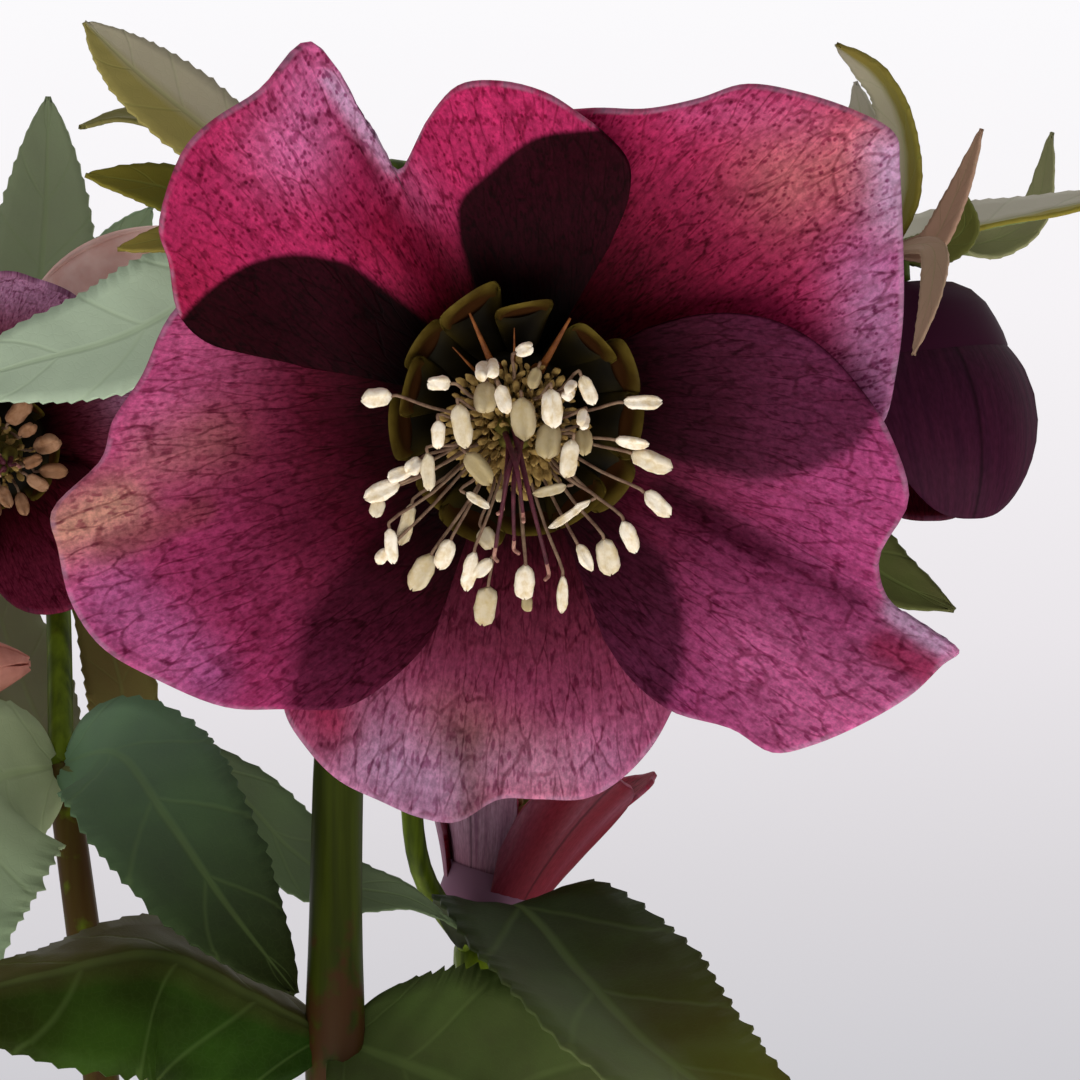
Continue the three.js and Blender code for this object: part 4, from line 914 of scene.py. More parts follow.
nectaryFoot = receptacle["front"] + 0.5 # its height above the foot of the bloom
nectarySizes = {"count": 13, "ring": 5.1, "spread": 0.1, "seed": 7, "long": 5.6, "mouth": 3.1, "rise": 0.7}


# one pouch, standing on Z and leaning out along X: a little flat from front to back, with an oblique mouth.
# Its outer lip is longer, thick and rolled in over the mouth.
def nectaryPouch(name, long, mouth):
    rows, sides = 15, 24
    turns = np.linspace(0, 2 * np.pi, sides, endpoint=False)
    outward = 0.5 + 0.5 * np.cos(turns) # 1 at the outer side
    wall = 0.16 * mouth
    grid, inner, lip = [], [], []
    for side in (0, 1):
        for i in (range(rows) if side == 0 else range(rows - 1, 1, -1)):
            t = i / (rows - 1)
            inset = wall * side * smoothStep(t, 1.02, 0.8) + 0.5 * wall * (smoothStep(t, 0.9, 1.0))
            wide = 0.28 * mouth + 0.72 * mouth * t**0.8 - inset
            deep = 0.28 * mouth + 0.36 * mouth * t**0.8 - inset
            curl = 0.5 * mouth * smoothStep(t, 0.66, 1.0) * outward**1.5
            x = deep * np.cos(turns) + 1.02 * long * t**1.2 - curl
            y = wide * np.sin(turns) * (1 + 0.05 * np.sin(3 * turns))
            z = long * (0.48 * t + 0.34 * smoothStep(t, 0.3, 1.0) * outward**1.3) + 0.3 * curl
            grid.append(np.stack([x, y, z], axis=1))
            # marks for the painted shade: deep in the mouth, and all but the outer lip
            inner.append(np.full(sides, 0.0 if side == 0 else smoothStep(t, 1.0, 0.7)))
            lip.append(smoothStep(t, 0.55, 0.95) * outward)
    count = len(grid)
    faces = []
    for i in range(count - 1):
        for k in range(sides):
            n = (k + 1) % sides
            faces.append([i * sides + k, i * sides + n, (i + 1) * sides + n, (i + 1) * sides + k])
    faces.append(list(range(sides))[::-1])
    faces.append([(count - 1) * sides + k for k in range(sides)])
    piece = newPiece()
    addPatch(piece, np.vstack(grid), faces, 0, {"mouthDepth": np.concatenate(inner), "lip": np.concatenate(lip)})
    return makeObject(name, piece, [nectarySkin])


def nectaryNodes(pouch):
    group, node, given = newNodeGroup("nectary ring", [("Count", "Int", 10), ("Ring Radius", "Float", 5 * mm),
                                                       ("Size Spread", "Float", 0.1), ("Seed", "Int", 1)])
    seed = given.outputs["Seed"]
    ring = node("MeshCircle", {"Vertices": given.outputs["Count"], "Radius": given.outputs["Ring Radius"]})
    shape = node("ObjectInfo", {"Object": pouch}).outputs["Geometry"]
    aim = node("FunctionNodeAlignRotationToVector", {"Vector": node("InputPosition")}, axis="X", pivot_axis="Z")
    lean = node("FunctionNodeRandomValue", {0: (-0.3, -0.22, -0.3), 1: (0.3, 0.18, 0.3), "Seed": seed},
                data_type="FLOAT_VECTOR")
    turned = node("FunctionNodeRotateRotation", {"Rotation": aim, "Rotate By": lean}, rotation_space="LOCAL")
    low, high = [node("ShaderNodeMath", {0: 1.0, 1: given.outputs["Size Spread"]}, operation=kind)
                 for kind in ("SUBTRACT", "ADD")]
    size = node("FunctionNodeRandomValue", {2: low, 3: high, "Seed": seed}, data_type="FLOAT")
    placed = node("InstanceOnPoints", {"Points": ring, "Instance": shape, "Rotation": turned, "Scale": size})
    real = node("RealizeInstances", {"Geometry": placed})
    done = node("SetMaterial", {"Geometry": real, "Material": nectarySkin})
    node("NodeGroupOutput", {0: node("JoinGeometry", {0: [done, given]})})
    return group


# orange-brown spikes that stand among the pouches, each with its direction, reach, width and height
mainSpikes = [(112, 10.4, 0.62, 9.8), (62, 10.4, 0.7, 9.8), (130, 8.4, 0.3, 9.0), (90, 8.4, 0.26, 10.2)]


# the pouches are made about the bloom's own Z axis, then the mesh is turned to its place
def makeNectaries(name, bloom, sizes, spikes=()):
    pouch = nectaryPouch(name + "_pouch", sizes["long"], sizes["mouth"])
    foot = newPiece()
    turnedPatch(foot, [(0, -0.2), (3.6, -0.2), (5.4, 0.1), (5.5, 1.0), (4.9, 1.4), (3.4, 1.3), (0, 1.0)], 24, 0)
    for degrees, reach, thick, height in spikes:
        way = np.array([math.cos(math.radians(degrees)), math.sin(math.radians(degrees)), 0])
        up = height - nectaryFoot
        line = smoothLine([way * 4.2 + [0, 0, 0.8], way * 4.9 + [0, 0, up * 0.7], way * reach + [0, 0, up]], 12)
        tubePatch(foot, line, thick * np.linspace(1, 0.16, 12), 8, 1)
    base = makeObject(name, foot, [nectarySkin, spikeSkin])
    piece = applyNodeGroup(name, base, nectaryNodes(pouch), {
        "Count": sizes["count"], "Ring Radius": sizes["ring"] * mm, "Size Spread": sizes["spread"],
        "Seed": sizes["seed"]})
    bpy.data.objects.remove(pouch)
    axes = bloomAxes(bloom)
    points = np.zeros(len(piece.data.vertices) * 3)
    piece.data.vertices.foreach_get("co", points)
    points = points.reshape(-1, 3) + [0, sizes.get("rise", 0) * mm, nectaryFoot * mm]
    points = np.asarray(bloom["place"]) * mm + points @ axes
    piece.data.vertices.foreach_set("co", points.reshape(-1))
    piece.data.polygons.foreach_set("use_smooth", [True] * len(piece.data.polygons))
    piece.data.update()
    return piece


mainNectaries = makeNectaries("main_bloom_nectaries", mainBloom, nectarySizes, mainSpikes)
finishPiece(mainNectaries, "nectary", "main_nectaries")


# pistils: pods side by side, each with a long style

mainStyles = [(0, -9, 18), (3, -11.5, 17.5), (0.8, -6, 18.6), (-1.7, -9.8, 17.6), (-1, -5.4, 18.2)]


def makePistil(name, bloom, styleTips):
    piece = newPiece()
    floor = receptacle["front"] + boss["height"] + 0.7
    turnedPatch(piece, [(0, floor), (1.3, floor), (1.5, floor + 0.6), (1.3, floor + 1.4), (0, floor + 1.6)], 16, 0)
    for k, (x, y, z) in enumerate(styleTips):
        turn = 2 * math.pi * (k + 0.25) / len(styleTips)
        out = np.array([math.cos(turn), math.sin(turn), 0])
        up = np.array([0, 0, 1.0])
        pod = [out * 0.7 + up * (floor + 0.5), out * 1.0 + up * (floor + 2.2), out * 0.8 + up * (floor + 4.4)]
        hook = np.array([x + 0.45 * math.cos(2.4 * k), y - 0.25, z - 0.2])
        line = smoothLine([*pod, (x * 0.4, y * 0.3, z), (x * 0.95, y * 0.9, z - 0.4), (x, y, z - 0.7), hook], 40)
        t = np.linspace(0, 1, 40)
        radii = 0.17 + 0.6 * np.exp(-(((t - 0.16) / 0.1) ** 2)) + 0.1 * smoothStep(t, 0.62, 0.4)
        tubePatch(piece, line[:14], radii[:14], 10, 0)
        tubePatch(piece, line[13:27], radii[13:27], 8, 1)
        tubePatch(piece, line[26:], radii[26:], 8, 2)
    placePiece(piece, bloom["place"], bloomAxes(bloom))
    return makeObject(name, piece, [podSkin, styleSkin, stigmaSkin])


mainPistil = makePistil("main_bloom_pistil", mainBloom, mainStyles)
finishPiece(mainPistil, "style", "main_pistil")
print("main bloom made")


# the three smaller blooms

smallBlooms = {
    "right": {"place": (57.5, -14, 362.4), "direction": (0.1, 0, -1), "turn": 11, "length": 29, "tip": 0,
              "profile": roundCup(12.8), "inside": maroonInside, "outside": maroonOutside,
              "half": 50, "slot": "dark_sepal", "coats": [{**plainCoat, "light": (8, 60)}] * 5,
              "shoulders": [(3, -2.4), (5.5, -2), (7.2, -1.1), (8.5, 0.3), (9.3, 1.9), (9.9, 3.4), (10.2, 4.6),
                            (10.1, 5.2), (6, 4.2)]},
    "left": {"place": (-34.5, 6, 350), "direction": (0.25, -0.95, -0.2), "length": 26, "profile": roundCup(20),
             "inside": maroonInside, "outside": mauveOutside, "slot": "dark_sepal",
             "zones": [("lilac", 0, -6, 21, 8, 22, 9, 1.0), ("lilac", 4, 16, 8, 22, 10, 6, 0.8)]},
    "lower": {"place": (16.8, 18, 300.8), "direction": (0.27, 0, 0.96), "turn": -17, "length": 25, "half": 42,
              "tip": 0.03, "profile": funnel(1.24, 0.02), "layer": 0.5, "inside": redInside,
              "outside": mauveOutside, "slot": "mauve_sepal", "zones": [
                  # the ruddy zones make two sepals on its right maroon: partly their own colour and partly painted
                  # shade
                  ("ruddy", 2, -4, -4, -18, -14, 8, 1.0), ("ruddy", 2, -3, -5, -12, -22, 8, 1.0),
                  ("ruddy", 2, 0, -6, -2, -24, 7, 1.0), ("ruddy", 3, 4, -5, 14, -20, 12, 1.0)]},
}
sepalLayers = [0, 2, 0, 2, 1]
smallStyles = [(1, 0, 14.5), (-0.6, 0.9, 14.5), (-0.6, -0.9, 14.5)]
smallNectaries = {"count": 8, "ring": 3.6, "spread": 0.1, "seed": 3, "long": 2.7, "mouth": 1.5}


# the margin of a plain sepal, broad and narrow at its foot; tip is how far its point stands out
def plainMargin(angle, length, half, tip):
    margin = []
    for away in np.linspace(-half, half, 13):
        part = abs(away) / half
        reach = length * (1 - tip - 0.5 * part**3 + tip * math.exp(-((away * 9 / half) ** 2)))
        turn = math.radians(angle + away)
        margin.append((reach * math.cos(turn), reach * math.sin(turn)))
    return margin


def softRuffle(length, turn, layer):
    return 0.25 * smoothStep(length, 8, 24) * np.sin(6 * turn + layer)


for name, bloom in smallBlooms.items():
    bloom = {"turn": 0, "half": 44, "tip": 0.07, "layer": 1.1, "coats": [plainCoat] * 5, "zones": [],
             "shoulders": (), **bloom}
    foot = bloom["half"] - 4
    bloom["sepals"] = [{"layer": layer, "from": angle - foot, "to": angle + foot,
                        "margin": plainMargin(angle, bloom["length"], bloom["half"], bloom["tip"])}
                       for layer, angle in zip(sepalLayers, range(90, 450, 72))]
    piece = newPiece()
    bloomSepals(piece, bloom, softRuffle, 26, 30)
    receptaclePatch(piece, bloom["shoulders"])
    placePiece(piece, bloom["place"], bloomAxes(bloom))
    sepals = makeObject(name + "_bloom_sepals", piece, [bloom["inside"], bloom["outside"], bloom["outside"]])
    finishPiece(sepals, bloom["slot"], name + "_sepals")
    stamens = makeStamens(name + "_bloom_stamens", bloom, ringRows(16, 2.4, 5.6, 11.4, 13.6, 2.6, 1.4),
                          ringRows(24, 0.6, 3.6, 8.4, 10, 1.2, 0.7), 6, oldStamens)
    finishPiece(stamens, "stamen", name + "_stamens")
    nectaries = makeNectaries(name + "_bloom_nectaries", bloom, smallNectaries)
    finishPiece(nectaries, "nectary", name + "_nectaries")
    pistil = makePistil(name + "_bloom_pistil", bloom, smallStyles)
    finishPiece(pistil, "style", name + "_pistil")
for shape in (antherSolid, youngAntherSolid):
    bpy.data.objects.remove(shape)
print("small blooms made")


# leafy stems

broad = lambda u: np.maximum(0.02, np.sin(np.pi * np.clip(u, 0, 1) ** 0.8) ** 0.75)
narrow = lambda u: np.maximum(0.02, np.sin(np.pi * np.clip(u, 0, 1) ** 0.95) ** 1.6)


# a toothed blade along a curved midrib; face is the way its upper side looks. Its tone is given for the
# whole blade, for its foot and tip, or for the left and right of its foot and then of its tip.
def leafPatch(piece, rib, face, width, tone, fold=0.28, teeth=16, toothDepth=0.05, outline=broad, thickness=0.45,
              columns=9, footWidth=0.0):
    rows = teeth * 4 + 1
    line = smoothLine(rib, rows)
    ahead = unit(np.gradient(line, axis=0))
    side = unit(np.cross(ahead, np.asarray(face, float)))
    up = np.cross(side, ahead)
    u, s = np.linspace(0, 1, rows)[:, None], np.linspace(-1, 1, columns)[None]
    half = np.maximum(width * outline(u), footWidth * (1 - u * 8))
    size = 0.75 + 0.25 * np.cos(2.4 * np.floor(u * teeth)) # no two teeth are quite alike
    tooth = half * toothDepth * size * (2.2 * ((u * teeth) % 1.0) ** 1.4 - 0.6) * smoothStep(u, 0.06, 0.2)
    x = half * s
    x[:, 0] -= tooth[:, 0]
    x[:, -1] += tooth[:, 0]
    vein = np.cos(2 * np.pi * (u * 9 - 1.5 * np.abs(s)))
    lift = fold * np.sqrt(x**2 + 0.3) - fold * 0.55 - 0.02 * width * vein * np.abs(s) * (1 - np.abs(s)) * 4
    lift = lift + 0.05 * half * np.sin(2 * np.pi * (2.3 * u + 0.2)) * s**2
    grid = line[:, None] + x[..., None] * side[:, None] + lift[..., None] * up[:, None]
    marks = {"across": s + 0 * u, "along": u + 0 * s}
    tones = [tone] if isinstance(tone, tuple) else tone
    shares = np.zeros((len(tones), len(leafLook["tones"])))
    for k, given in enumerate(tones):
        shares[k, :len(given)] = given
    footLeft, footRight, tipLeft, tipRight = np.repeat(shares, 4 // len(tones), axis=0)
    swap, run = smoothStep(s, -0.12, 0.12)[..., None], u[..., None]
    blend = (footLeft * (1 - swap) + footRight * swap) * (1 - run) + (tipLeft * (1 - swap) + tipRight * swap) * run
    for k, key in enumerate(leafLook["tones"]):
        marks[key + "Tone"] = blend[..., k]
    sheetPatch(piece, grid[:, ::-1], thickness, {key: values[:, ::-1] for key, values in marks.items()})


# knots are the corners of the line where leaves leave the stem: thicker there and reddish; deep is its share of
# painted shade
def stemPatch(piece, line, thick, thin, sides=14, paint=2, wine=0.0, deep=0.0, knots=()):
    count = 6 * (len(line) - 1) + 1
    path = smoothLine(line, count)
    t = np.linspace(0, 1, count)
    radii = thick + (thin - thick) * t
    tone = np.full(count, float(wine))
    for corner in knots:
        near = np.exp(-(((t - corner / (len(line) - 1)) * count / 2.0) ** 2))
        radii, tone = radii + 0.3 * near, tone + 0.3 * near
    tubePatch(piece, path, radii, sides, paint, {"wineTone": tone, "deepTone": deep})


# the last two points of a stalk, behind the bloom or bud that it carries
def stalkTop(part, back):
    return [tuple(np.asarray(part["place"]) - unit(part["direction"]) * (back + gap)) for gap in (3.3, 0.3)]


def feet(x, y):
    return [(x, y, holeFloor), (x, y, soilTop + 4)]


lowNode, topNode, sideNode = (2.5, -22, 291.5), (1.2, -25, 370.7), (56.5, -15, 368)
leftNode, leftTopNode, rightNode = (-25.7, -5, 317.2), (-29, 16, 354), (15.5, 13, 296.5)
soilTop, holeFloor = 120, 104.3 # the compost, and the bottom of the holes that the stems stand in

# a tone is its share of painted blue sheen, olive, wine, painted near-black shade and painted near-white light
sheen, bright = (0.5, 0, 0, 0), (0.1, 0.1, 0, 0)
greyBlue, brown = (0.9, 0, 0, 0, 0.4), (0.1, 0.1, 0.85, 0)

# the tones paint each leaf's light and shade: sheen where it is lit, near-black where it lies in shade
mainLeaves = [
    {"rib": [lowNode, (-5.4, -26, 296.3), (-13.7, -30, 300.5), (-24.2, -35, 299), (-37, -38, 296)],
     "face": (0, -0.7, 0.7), "width": 10.5, "fold": -0.75, "teeth": 26,
     "tone": [(0, 0, 0, 0.35), (0, 0.25, 0.15, 0.5), (0, 0.05, 0, 0.35), (0, 0.25, 0.15, 0.5)]},
    {"rib": [lowNode, (9.9, -24, 288.9), (19.9, -20, 283.9), (32.6, -16, 274.1), (42.5, -14, 262.3)],
     "face": (0.1, -0.8, 0.6), "width": 12, "teeth": 26, "tone": [(0.05, 0.1, 0, 0.2), (0.12, 0.2, 0, 0)]},
    {"rib": [topNode, (-9, -27, 378.4), (-16.3, -28, 384.3), (-21, -28, 388.8)],
     "face": (0.1, -1, 0.25), "width": 3.9, "teeth": 20,
     "tone": [(0.1, 0.85, 0, 0, 0.1), (0, 0.5, 0.1, 0, 0.5)] * 2},
    {"rib": [topNode, (-10, -22.5, 377.4), (-17, -21, 380.4), (-22.3, -20, 379.6)],
     "face": (0, -0.4, 1), "width": 2.6, "tone": (0.15, 0.5, 0.15, 0.2)},
    {"rib": [topNode, (-8, -20, 371.6), (-15, -18, 374), (-22, -17, 375.2)],
     "face": (0, -0.9, 0.5), "width": 3, "tone": [(0, 0.4, 0, 0.5), (0, 0.7, 0, 0.1)]},
    {"rib": [topNode, (-8, -24, 368.6), (-13, -23.5, 368.6), (-18.3, -23, 367.6)],
     "face": (0, -0.9, 0.5), "width": 2, "tone": [(0, 0.4, 0.1, 0.5), (0, 0.8, 0.1, 0)]},
    {"rib": [topNode, (-9, -20, 364.5), (-18, -17, 359.6), (-28, -13, 357), (-38, -11, 354.4)],
     "face": (0, -1, 0.35), "width": 6.2, "fold": 0.15, "tone": greyBlue, "teeth": 26},
    {"rib": [sideNode, (58, -17, 374), (57.4, -19, 380), (55, -21, 384.2), (50.8, -22, 387.4)],
     "face": (-0.85, -0.55, 0), "width": 3, "teeth": 18,
     "tone": [(0, 0.4, 0.1, 0, 0.4), (0, 0.55, 0, 0.3), (0, 0.4, 0.1, 0, 0.5), (0, 0.7, 0.1, 0)]},
    {"rib": [sideNode, (55, -11, 377), (53.5, -10, 385)], "face": (-0.5, -0.8, 0), "width": 2.4,
     "tone": [(0, 0.5, 0.2, 0), (0, 0.2, 0.1, 0, 0.7)]},
    {"rib": [sideNode, (60.2, -18.5, 368.4), (62.7, -18.5, 373), (65.2, -18, 379.6)],
     "face": (-0.6, -0.8, 0.1), "width": 1.5, "tone": brown},
    {"rib": [sideNode, (60, -22.5, 367.6), (59.4, -27.5, 363), (57.6, -29.5, 357.2)],
     "face": (-0.2, -0.8, 0.6), "width": 1.3, "tone": (0.2, 0, 0.75, 0)},
    {"rib": [sideNode, (61, -11, 368.4), (64.3, -9.5, 370.5), (64, -9, 374.5)],
     "face": (-0.3, -1, 0), "width": 1.9, "tone": (0.1, 0.4, 0, 0.2)},
    {"rib": [sideNode, (61, -4, 370.1), (69, 0, 371.8), (77, 3, 373.7), (89, 6, 375.4)],
     "face": (0, -0.3, 0.95), "width": 4.5, "teeth": 22,
     "tone": [(0, 0.3, 0.1, 0, 0.8), (0.05, 0.85, 0, 0.1)] * 2},
    {"rib": [sideNode, (66, 3, 369.4), (73, 9, 373), (75.5, 12, 382)], "face": (-0.5, -0.9, 0), "width": 2.2,
     "tone": (0.3, 0.4, 0.1, 0, 0.1)},
    {"rib": [(46, -10.5, 367.2), (45, 4, 358), (49, 7, 345), (56, 3, 337), (64, -2, 332.6)],
     "face": (0.1, -1, 0.1), "width": 5.4, "tone": (0.05, 0.15, 0.1, 0.1), "teeth": 22},
]
leftLeaves = [
    {"rib": [leftNode, (-19, -16, 318.6), (-13.5, -26, 313.2), (-7, -32.5, 305), (-0.5, -36, 297.4)],
     "face": (0.1, -0.9, 0.3), "width": 7.6, "fold": 0.15, "teeth": 28, "tone": [sheen, (0, 0.1, 0, 0.85)]},
    {"rib": [leftNode, (-16.2, -9, 319.4), (-7.8, -11, 314.7), (-2.4, -12, 309.2), (3, -13, 305.8),
             (9.4, -13, 304.4), (14.8, -13, 301.2)],
     "face": (0.1, -0.95, 0.2), "width": 3.8, "outline": narrow, "tone": (0.3, 0.1, 0.05, 0.2), "teeth": 26},
    {"rib": [leftNode, (-32.5, -14, 315), (-35.5, -19, 304), (-33.5, -22, 291)],
     "face": (0.1, -1, 0.1), "width": 9.6, "fold": 0.1, "teeth": 24,
     "tone": [(0.7, 0.4, 0, 0, 0.15), (0.6, 0.1, 0, 0, 0.1)]},
    {"rib": [(-22, 4, 314), (-20.5, 6, 322), (-22.5, 8, 330), (-27, 10, 339)], "face": (0.1, -1, 0.1), "width": 3.6,
     "tone": (0, 0.4, 0.2, 0.2)},
    {"rib": [leftNode, (-30, 5, 323), (-34, 14, 331), (-38, 21, 341)], "face": (0.3, -0.9, 0.2), "width": 4.8,
     "tone": (0.25, 0.1, 0.25, 0)},
    {"rib": [leftNode, (-19.8, -11, 319), (-15.4, -13, 320.2), (-10.8, -15, 317.6)],
     "face": (0.1, -0.9, 0.5), "width": 3, "tone": (0.15, 0.25, 0.1, 0)},
    {"rib": [leftTopNode, (-31, 24, 365), (-31, 29, 376), (-31, 31, 387.6)], "face": (0.1, -1, 0.2),
     "width": 5.6, "tone": (0.5, 0.1, 0.2, 0), "teeth": 20},
    {"rib": [leftTopNode, (-26, 20, 363), (-22.5, 21.5, 370), (-19, 22, 375)], "face": (0.4, -0.9, 0.1),
     "width": 3.6, "tone": (0.6, 0.1, 0.1, 0)},
]
rightLeaves = [
    {"rib": [rightNode, (19.7, -2, 302.6), (26.3, -18, 297.2), (32.4, -31, 292), (40.5, -41, 287),
             (56, -50, 278.5)],
     "face": (0.15, -0.6, 0.8), "width": 10, "teeth": 28,
     "tone": [(0, 0, 0, 1.0), (0, 0, 0, 1.0), (0, 0.45, 0, 0), (0.3, 0.4, 0, 0)]},
    {"rib": [rightNode, (17, 24, 292), (18, 34, 290), (19, 42, 284)], "face": (0, -0.8, 0.6), "width": 3.6,
     "tone": bright},
    {"rib": [rightNode, (22, 20, 292.5), (28, 25, 294), (34, 28, 293)], "face": (0, -0.8, 0.6), "width": 3.4,
     "tone": bright},
]
buds = {
    "upper": {"place": (-27.4, 10, 365), "direction": (0.9, 0, 0.42), "length": 15, "radius": 3.8, "skin": budSkin},
    "lower": {"place": (-44.6, -6, 326), "direction": (1, 0, 0.08), "length": 16, "radius": 4.2,
              "skin": salmonBud},
    "hidden": {"place": (10.2, 2.4, 329.4), "direction": (0.2, -0.3, 1), "length": 12, "radius": 3.4,
               "skin": budSkin},
}
bloomBack, budBack = 2.4, 1.2


def makeLeafyStem(name, node, stalks, leaves):
    piece = newPiece()
    for stalk in stalks:
        stemPatch(piece, **stalk)
    for leaf in leaves:
        leafPatch(piece, **leaf)
    stem = makeObject(name, piece, [stemLeafTop, stemLeafUnder, greenStem])
    finishPiece(stem, "stem", node)


makeLeafyStem("main_stem_and_leaves", "main_leafy_stem", [
    {"thick": 3.3, "thin": 2.1, "sides": 20, "deep": 0.75, "knots": (4,),
     "line": [*feet(3, 0), (3.5, -6, 200), (2.5, -18, 270), lowNode, (2.8, -22, 316.5), (4, -23, 343.5), topNode]},
    {"thick": 1.8, "thin": 1.5,
     "line": [topNode, (8, -24, 374.5), (16, -25, 370), *stalkTop(mainBloom, bloomBack)]},
    {"thick": 1.7, "thin": 1.4,
     "line": [topNode, (18, -12, 372), (38, -9, 367), sideNode, *stalkTop(smallBlooms["right"], bloomBack)]},
], mainLeaves)
makeLeafyStem("left_stem_and_leaves", "left_leafy_stem", [
    {"thick": 2.6, "thin": 1.6, "wine": 0.34, "line": [*feet(-15, 3), (-16, 1, 200), (-21, -6, 280), leftNode]},
    {"thick": 1.3, "thin": 1.1,
     "line": [leftNode, (-27, 4, 333.6), (-28.5, 11.5, 344), leftTopNode, (-32.5, 16, 355.5),
              *stalkTop(smallBlooms["left"], bloomBack)]},
    {"thick": 1.4, "thin": 1.1, "line": [leftTopNode, (-33, 13.5, 360), *stalkTop(buds["upper"], budBack)]},
    {"thick": 1.3, "thin": 1.1,
     "line": [leftNode, (-38, -4, 318), (-49, -5.5, 320.5), *stalkTop(buds["lower"], budBack)]},
], leftLeaves)
makeLeafyStem("right_stem_and_leaves", "right_leafy_stem", [
    {"thick": 2.8, "thin": 1.9, "line": [*feet(16, 15), (19, 20, 200), (17.5, 16, 275), rightNode,
                                         *stalkTop(smallBlooms["lower"], bloomBack)]},
    {"thick": 1.2, "thin": 1.0,
     "line": [rightNode, (10, 6, 306), (9, 4.5, 318), *stalkTop(buds["hidden"], budBack)]},
], rightLeaves)
print("leafy stems made")


# buds: folded sepals, each lying over the next

def budPatch(piece, length, radius):
    t, s = np.linspace(0, 1, 18)[:, None], np.linspace(-1, 1, 15)[None]
    swell = np.sin(np.pi * (0.12 + 0.86 * t) ** 0.9) ** 0.75
    for k in range(5):
        turn = 2 * math.pi * k / 5 + 0.95 * (1 - 0.55 * t**4) * s
        out = radius * swell * (0.86 + 0.05 * s + 0.03 * (k % 2)) + 0.15
        grid = np.stack([out * np.cos(turn), out * np.sin(turn), -1.0 + (length + 0.8) * t + 0 * s], axis=-1)
        sheetPatch(piece, grid, 0.4, {}, 0, 0, 0)
    turnedPatch(piece, [(0, -1.2), (0.9, -1.2), (1.4, -0.6), (radius * 0.55, length * 0.25),
                        (radius * 0.5, length * 0.6), (0.3, length * 0.9), (0, length * 0.95)], 16, 0)


for name, bud in buds.items():
    piece = newPiece()
    budPatch(piece, bud["length"], bud["radius"])
    placePiece(piece, bud["place"], facing(bud["direction"]))
    finishPiece(makeObject("bud_" + name + "_sepals", piece, [bud["skin"]]), "bud", "bud_" + name)


# leaves from the root

rootLeaves = [
    {"azimuth": -121, "reach": 94, "height": 226, "size": 1.0},
    {"azimuth": -60, "reach": 100, "height": 240, "size": 1.04},
    {"azimuth": -1, "reach": 92, "height": 222, "size": 0.98},
    {"azimuth": 60, "reach": 98, "height": 242, "size": 1.02},
    {"azimuth": 120, "reach": 94, "height": 224, "size": 1.0},
    {"azimuth": 179, "reach": 98, "height": 238, "size": 1.02},
]
# the leaflets of one leaf: the way each points in degrees, its length and half its width
leaflets = [(-111, 54, 7.2), (-74, 72, 8.6), (-37, 84, 10), (0, 88, 10.4), (37, 84, 10), (74, 72, 8.6),
            (111, 54, 7.2)]
leafletArch = [(0, 0), (0.3, 4), (0.65, 1), (1, -16)]
rootLeafFoot = {"ring": 30, "radius": 2.6}

for number, leaf in enumerate(rootLeaves):
    piece = newPiece()
    reach, height, size = leaf["reach"], leaf["height"], leaf["size"]
    ring = rootLeafFoot["ring"]
    stemPatch(piece, [*feet(ring, 0), (ring + 4, 0, 150), (ring + 18, 0, 182),
                      ((ring + reach) * 0.62, 0, height - 30), (reach - 7, 0, height - 13), (reach, 0, height + 0.8)],
              rootLeafFoot["radius"], 1.9, wine=0.05)
    for turn, length, width in leaflets:
        way = np.array([math.cos(math.radians(turn)), math.sin(math.radians(turn)), 0])
        rib = [np.array([reach, 0, height]) + way * part * length * size + [0, 0, up * size]
               for part, up in leafletArch]
        leafPatch(piece, rib=rib, face=(0.1, 0, 1), width=width * size, tone=(0.1, 0.05, 0, 0), fold=0.2,
                  outline=narrow, teeth=24, toothDepth=0.06, footWidth=1.6, columns=7)
    turn = math.radians(leaf["azimuth"])
    axes = np.array([[math.cos(turn), math.sin(turn), 0], [-math.sin(turn), math.cos(turn), 0], [0, 0, 1]])
    placePiece(piece, (0, 0, 0), axes)
    rootLeaf = makeObject(f"root_leaf_{number + 1}_blade", piece, [rootLeafTop, rootLeafUnder, greenStem])
    finishPiece(rootLeaf, "leaf", f"root_leaf_{number + 1}")
print("root leaves made")


# pot and soil

pot = {"height": 140, "base": 56, "rim": 85, "roll": 4.5, "wall": 7, "floor": 9} # radii and heights


def wallRadius(z):
    return pot["base"] + (pot["rim"] - pot["roll"] - pot["base"]) * z / pot["height"]


# the pot keeps the CAD's wall and drain holes; its copy is smooth where the wall is round
potShape = bmesh.new()
potShape.from_mesh(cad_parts["pot"].data)
bmesh.ops.remove_doubles(potShape, verts=potShape.verts, dist=1e-6)
potMesh = bpy.data.meshes.new("clay_pot")
potShape.to_mesh(potMesh)
potShape.free()
potMesh.polygons.foreach_set("use_smooth", [True] * len(potMesh.polygons))
potMesh.set_sharp_from_angle(angle=math.radians(35))
potMesh.materials.clear()
potMesh.materials.append(clay)
finishPiece(addObject("clay_pot", potMesh), "terracotta", "pot")

soilSizes = {"crumbs": 1500, "chips": 150, "seed": 5, "clear": 64} # numbers, and the radius they lie in


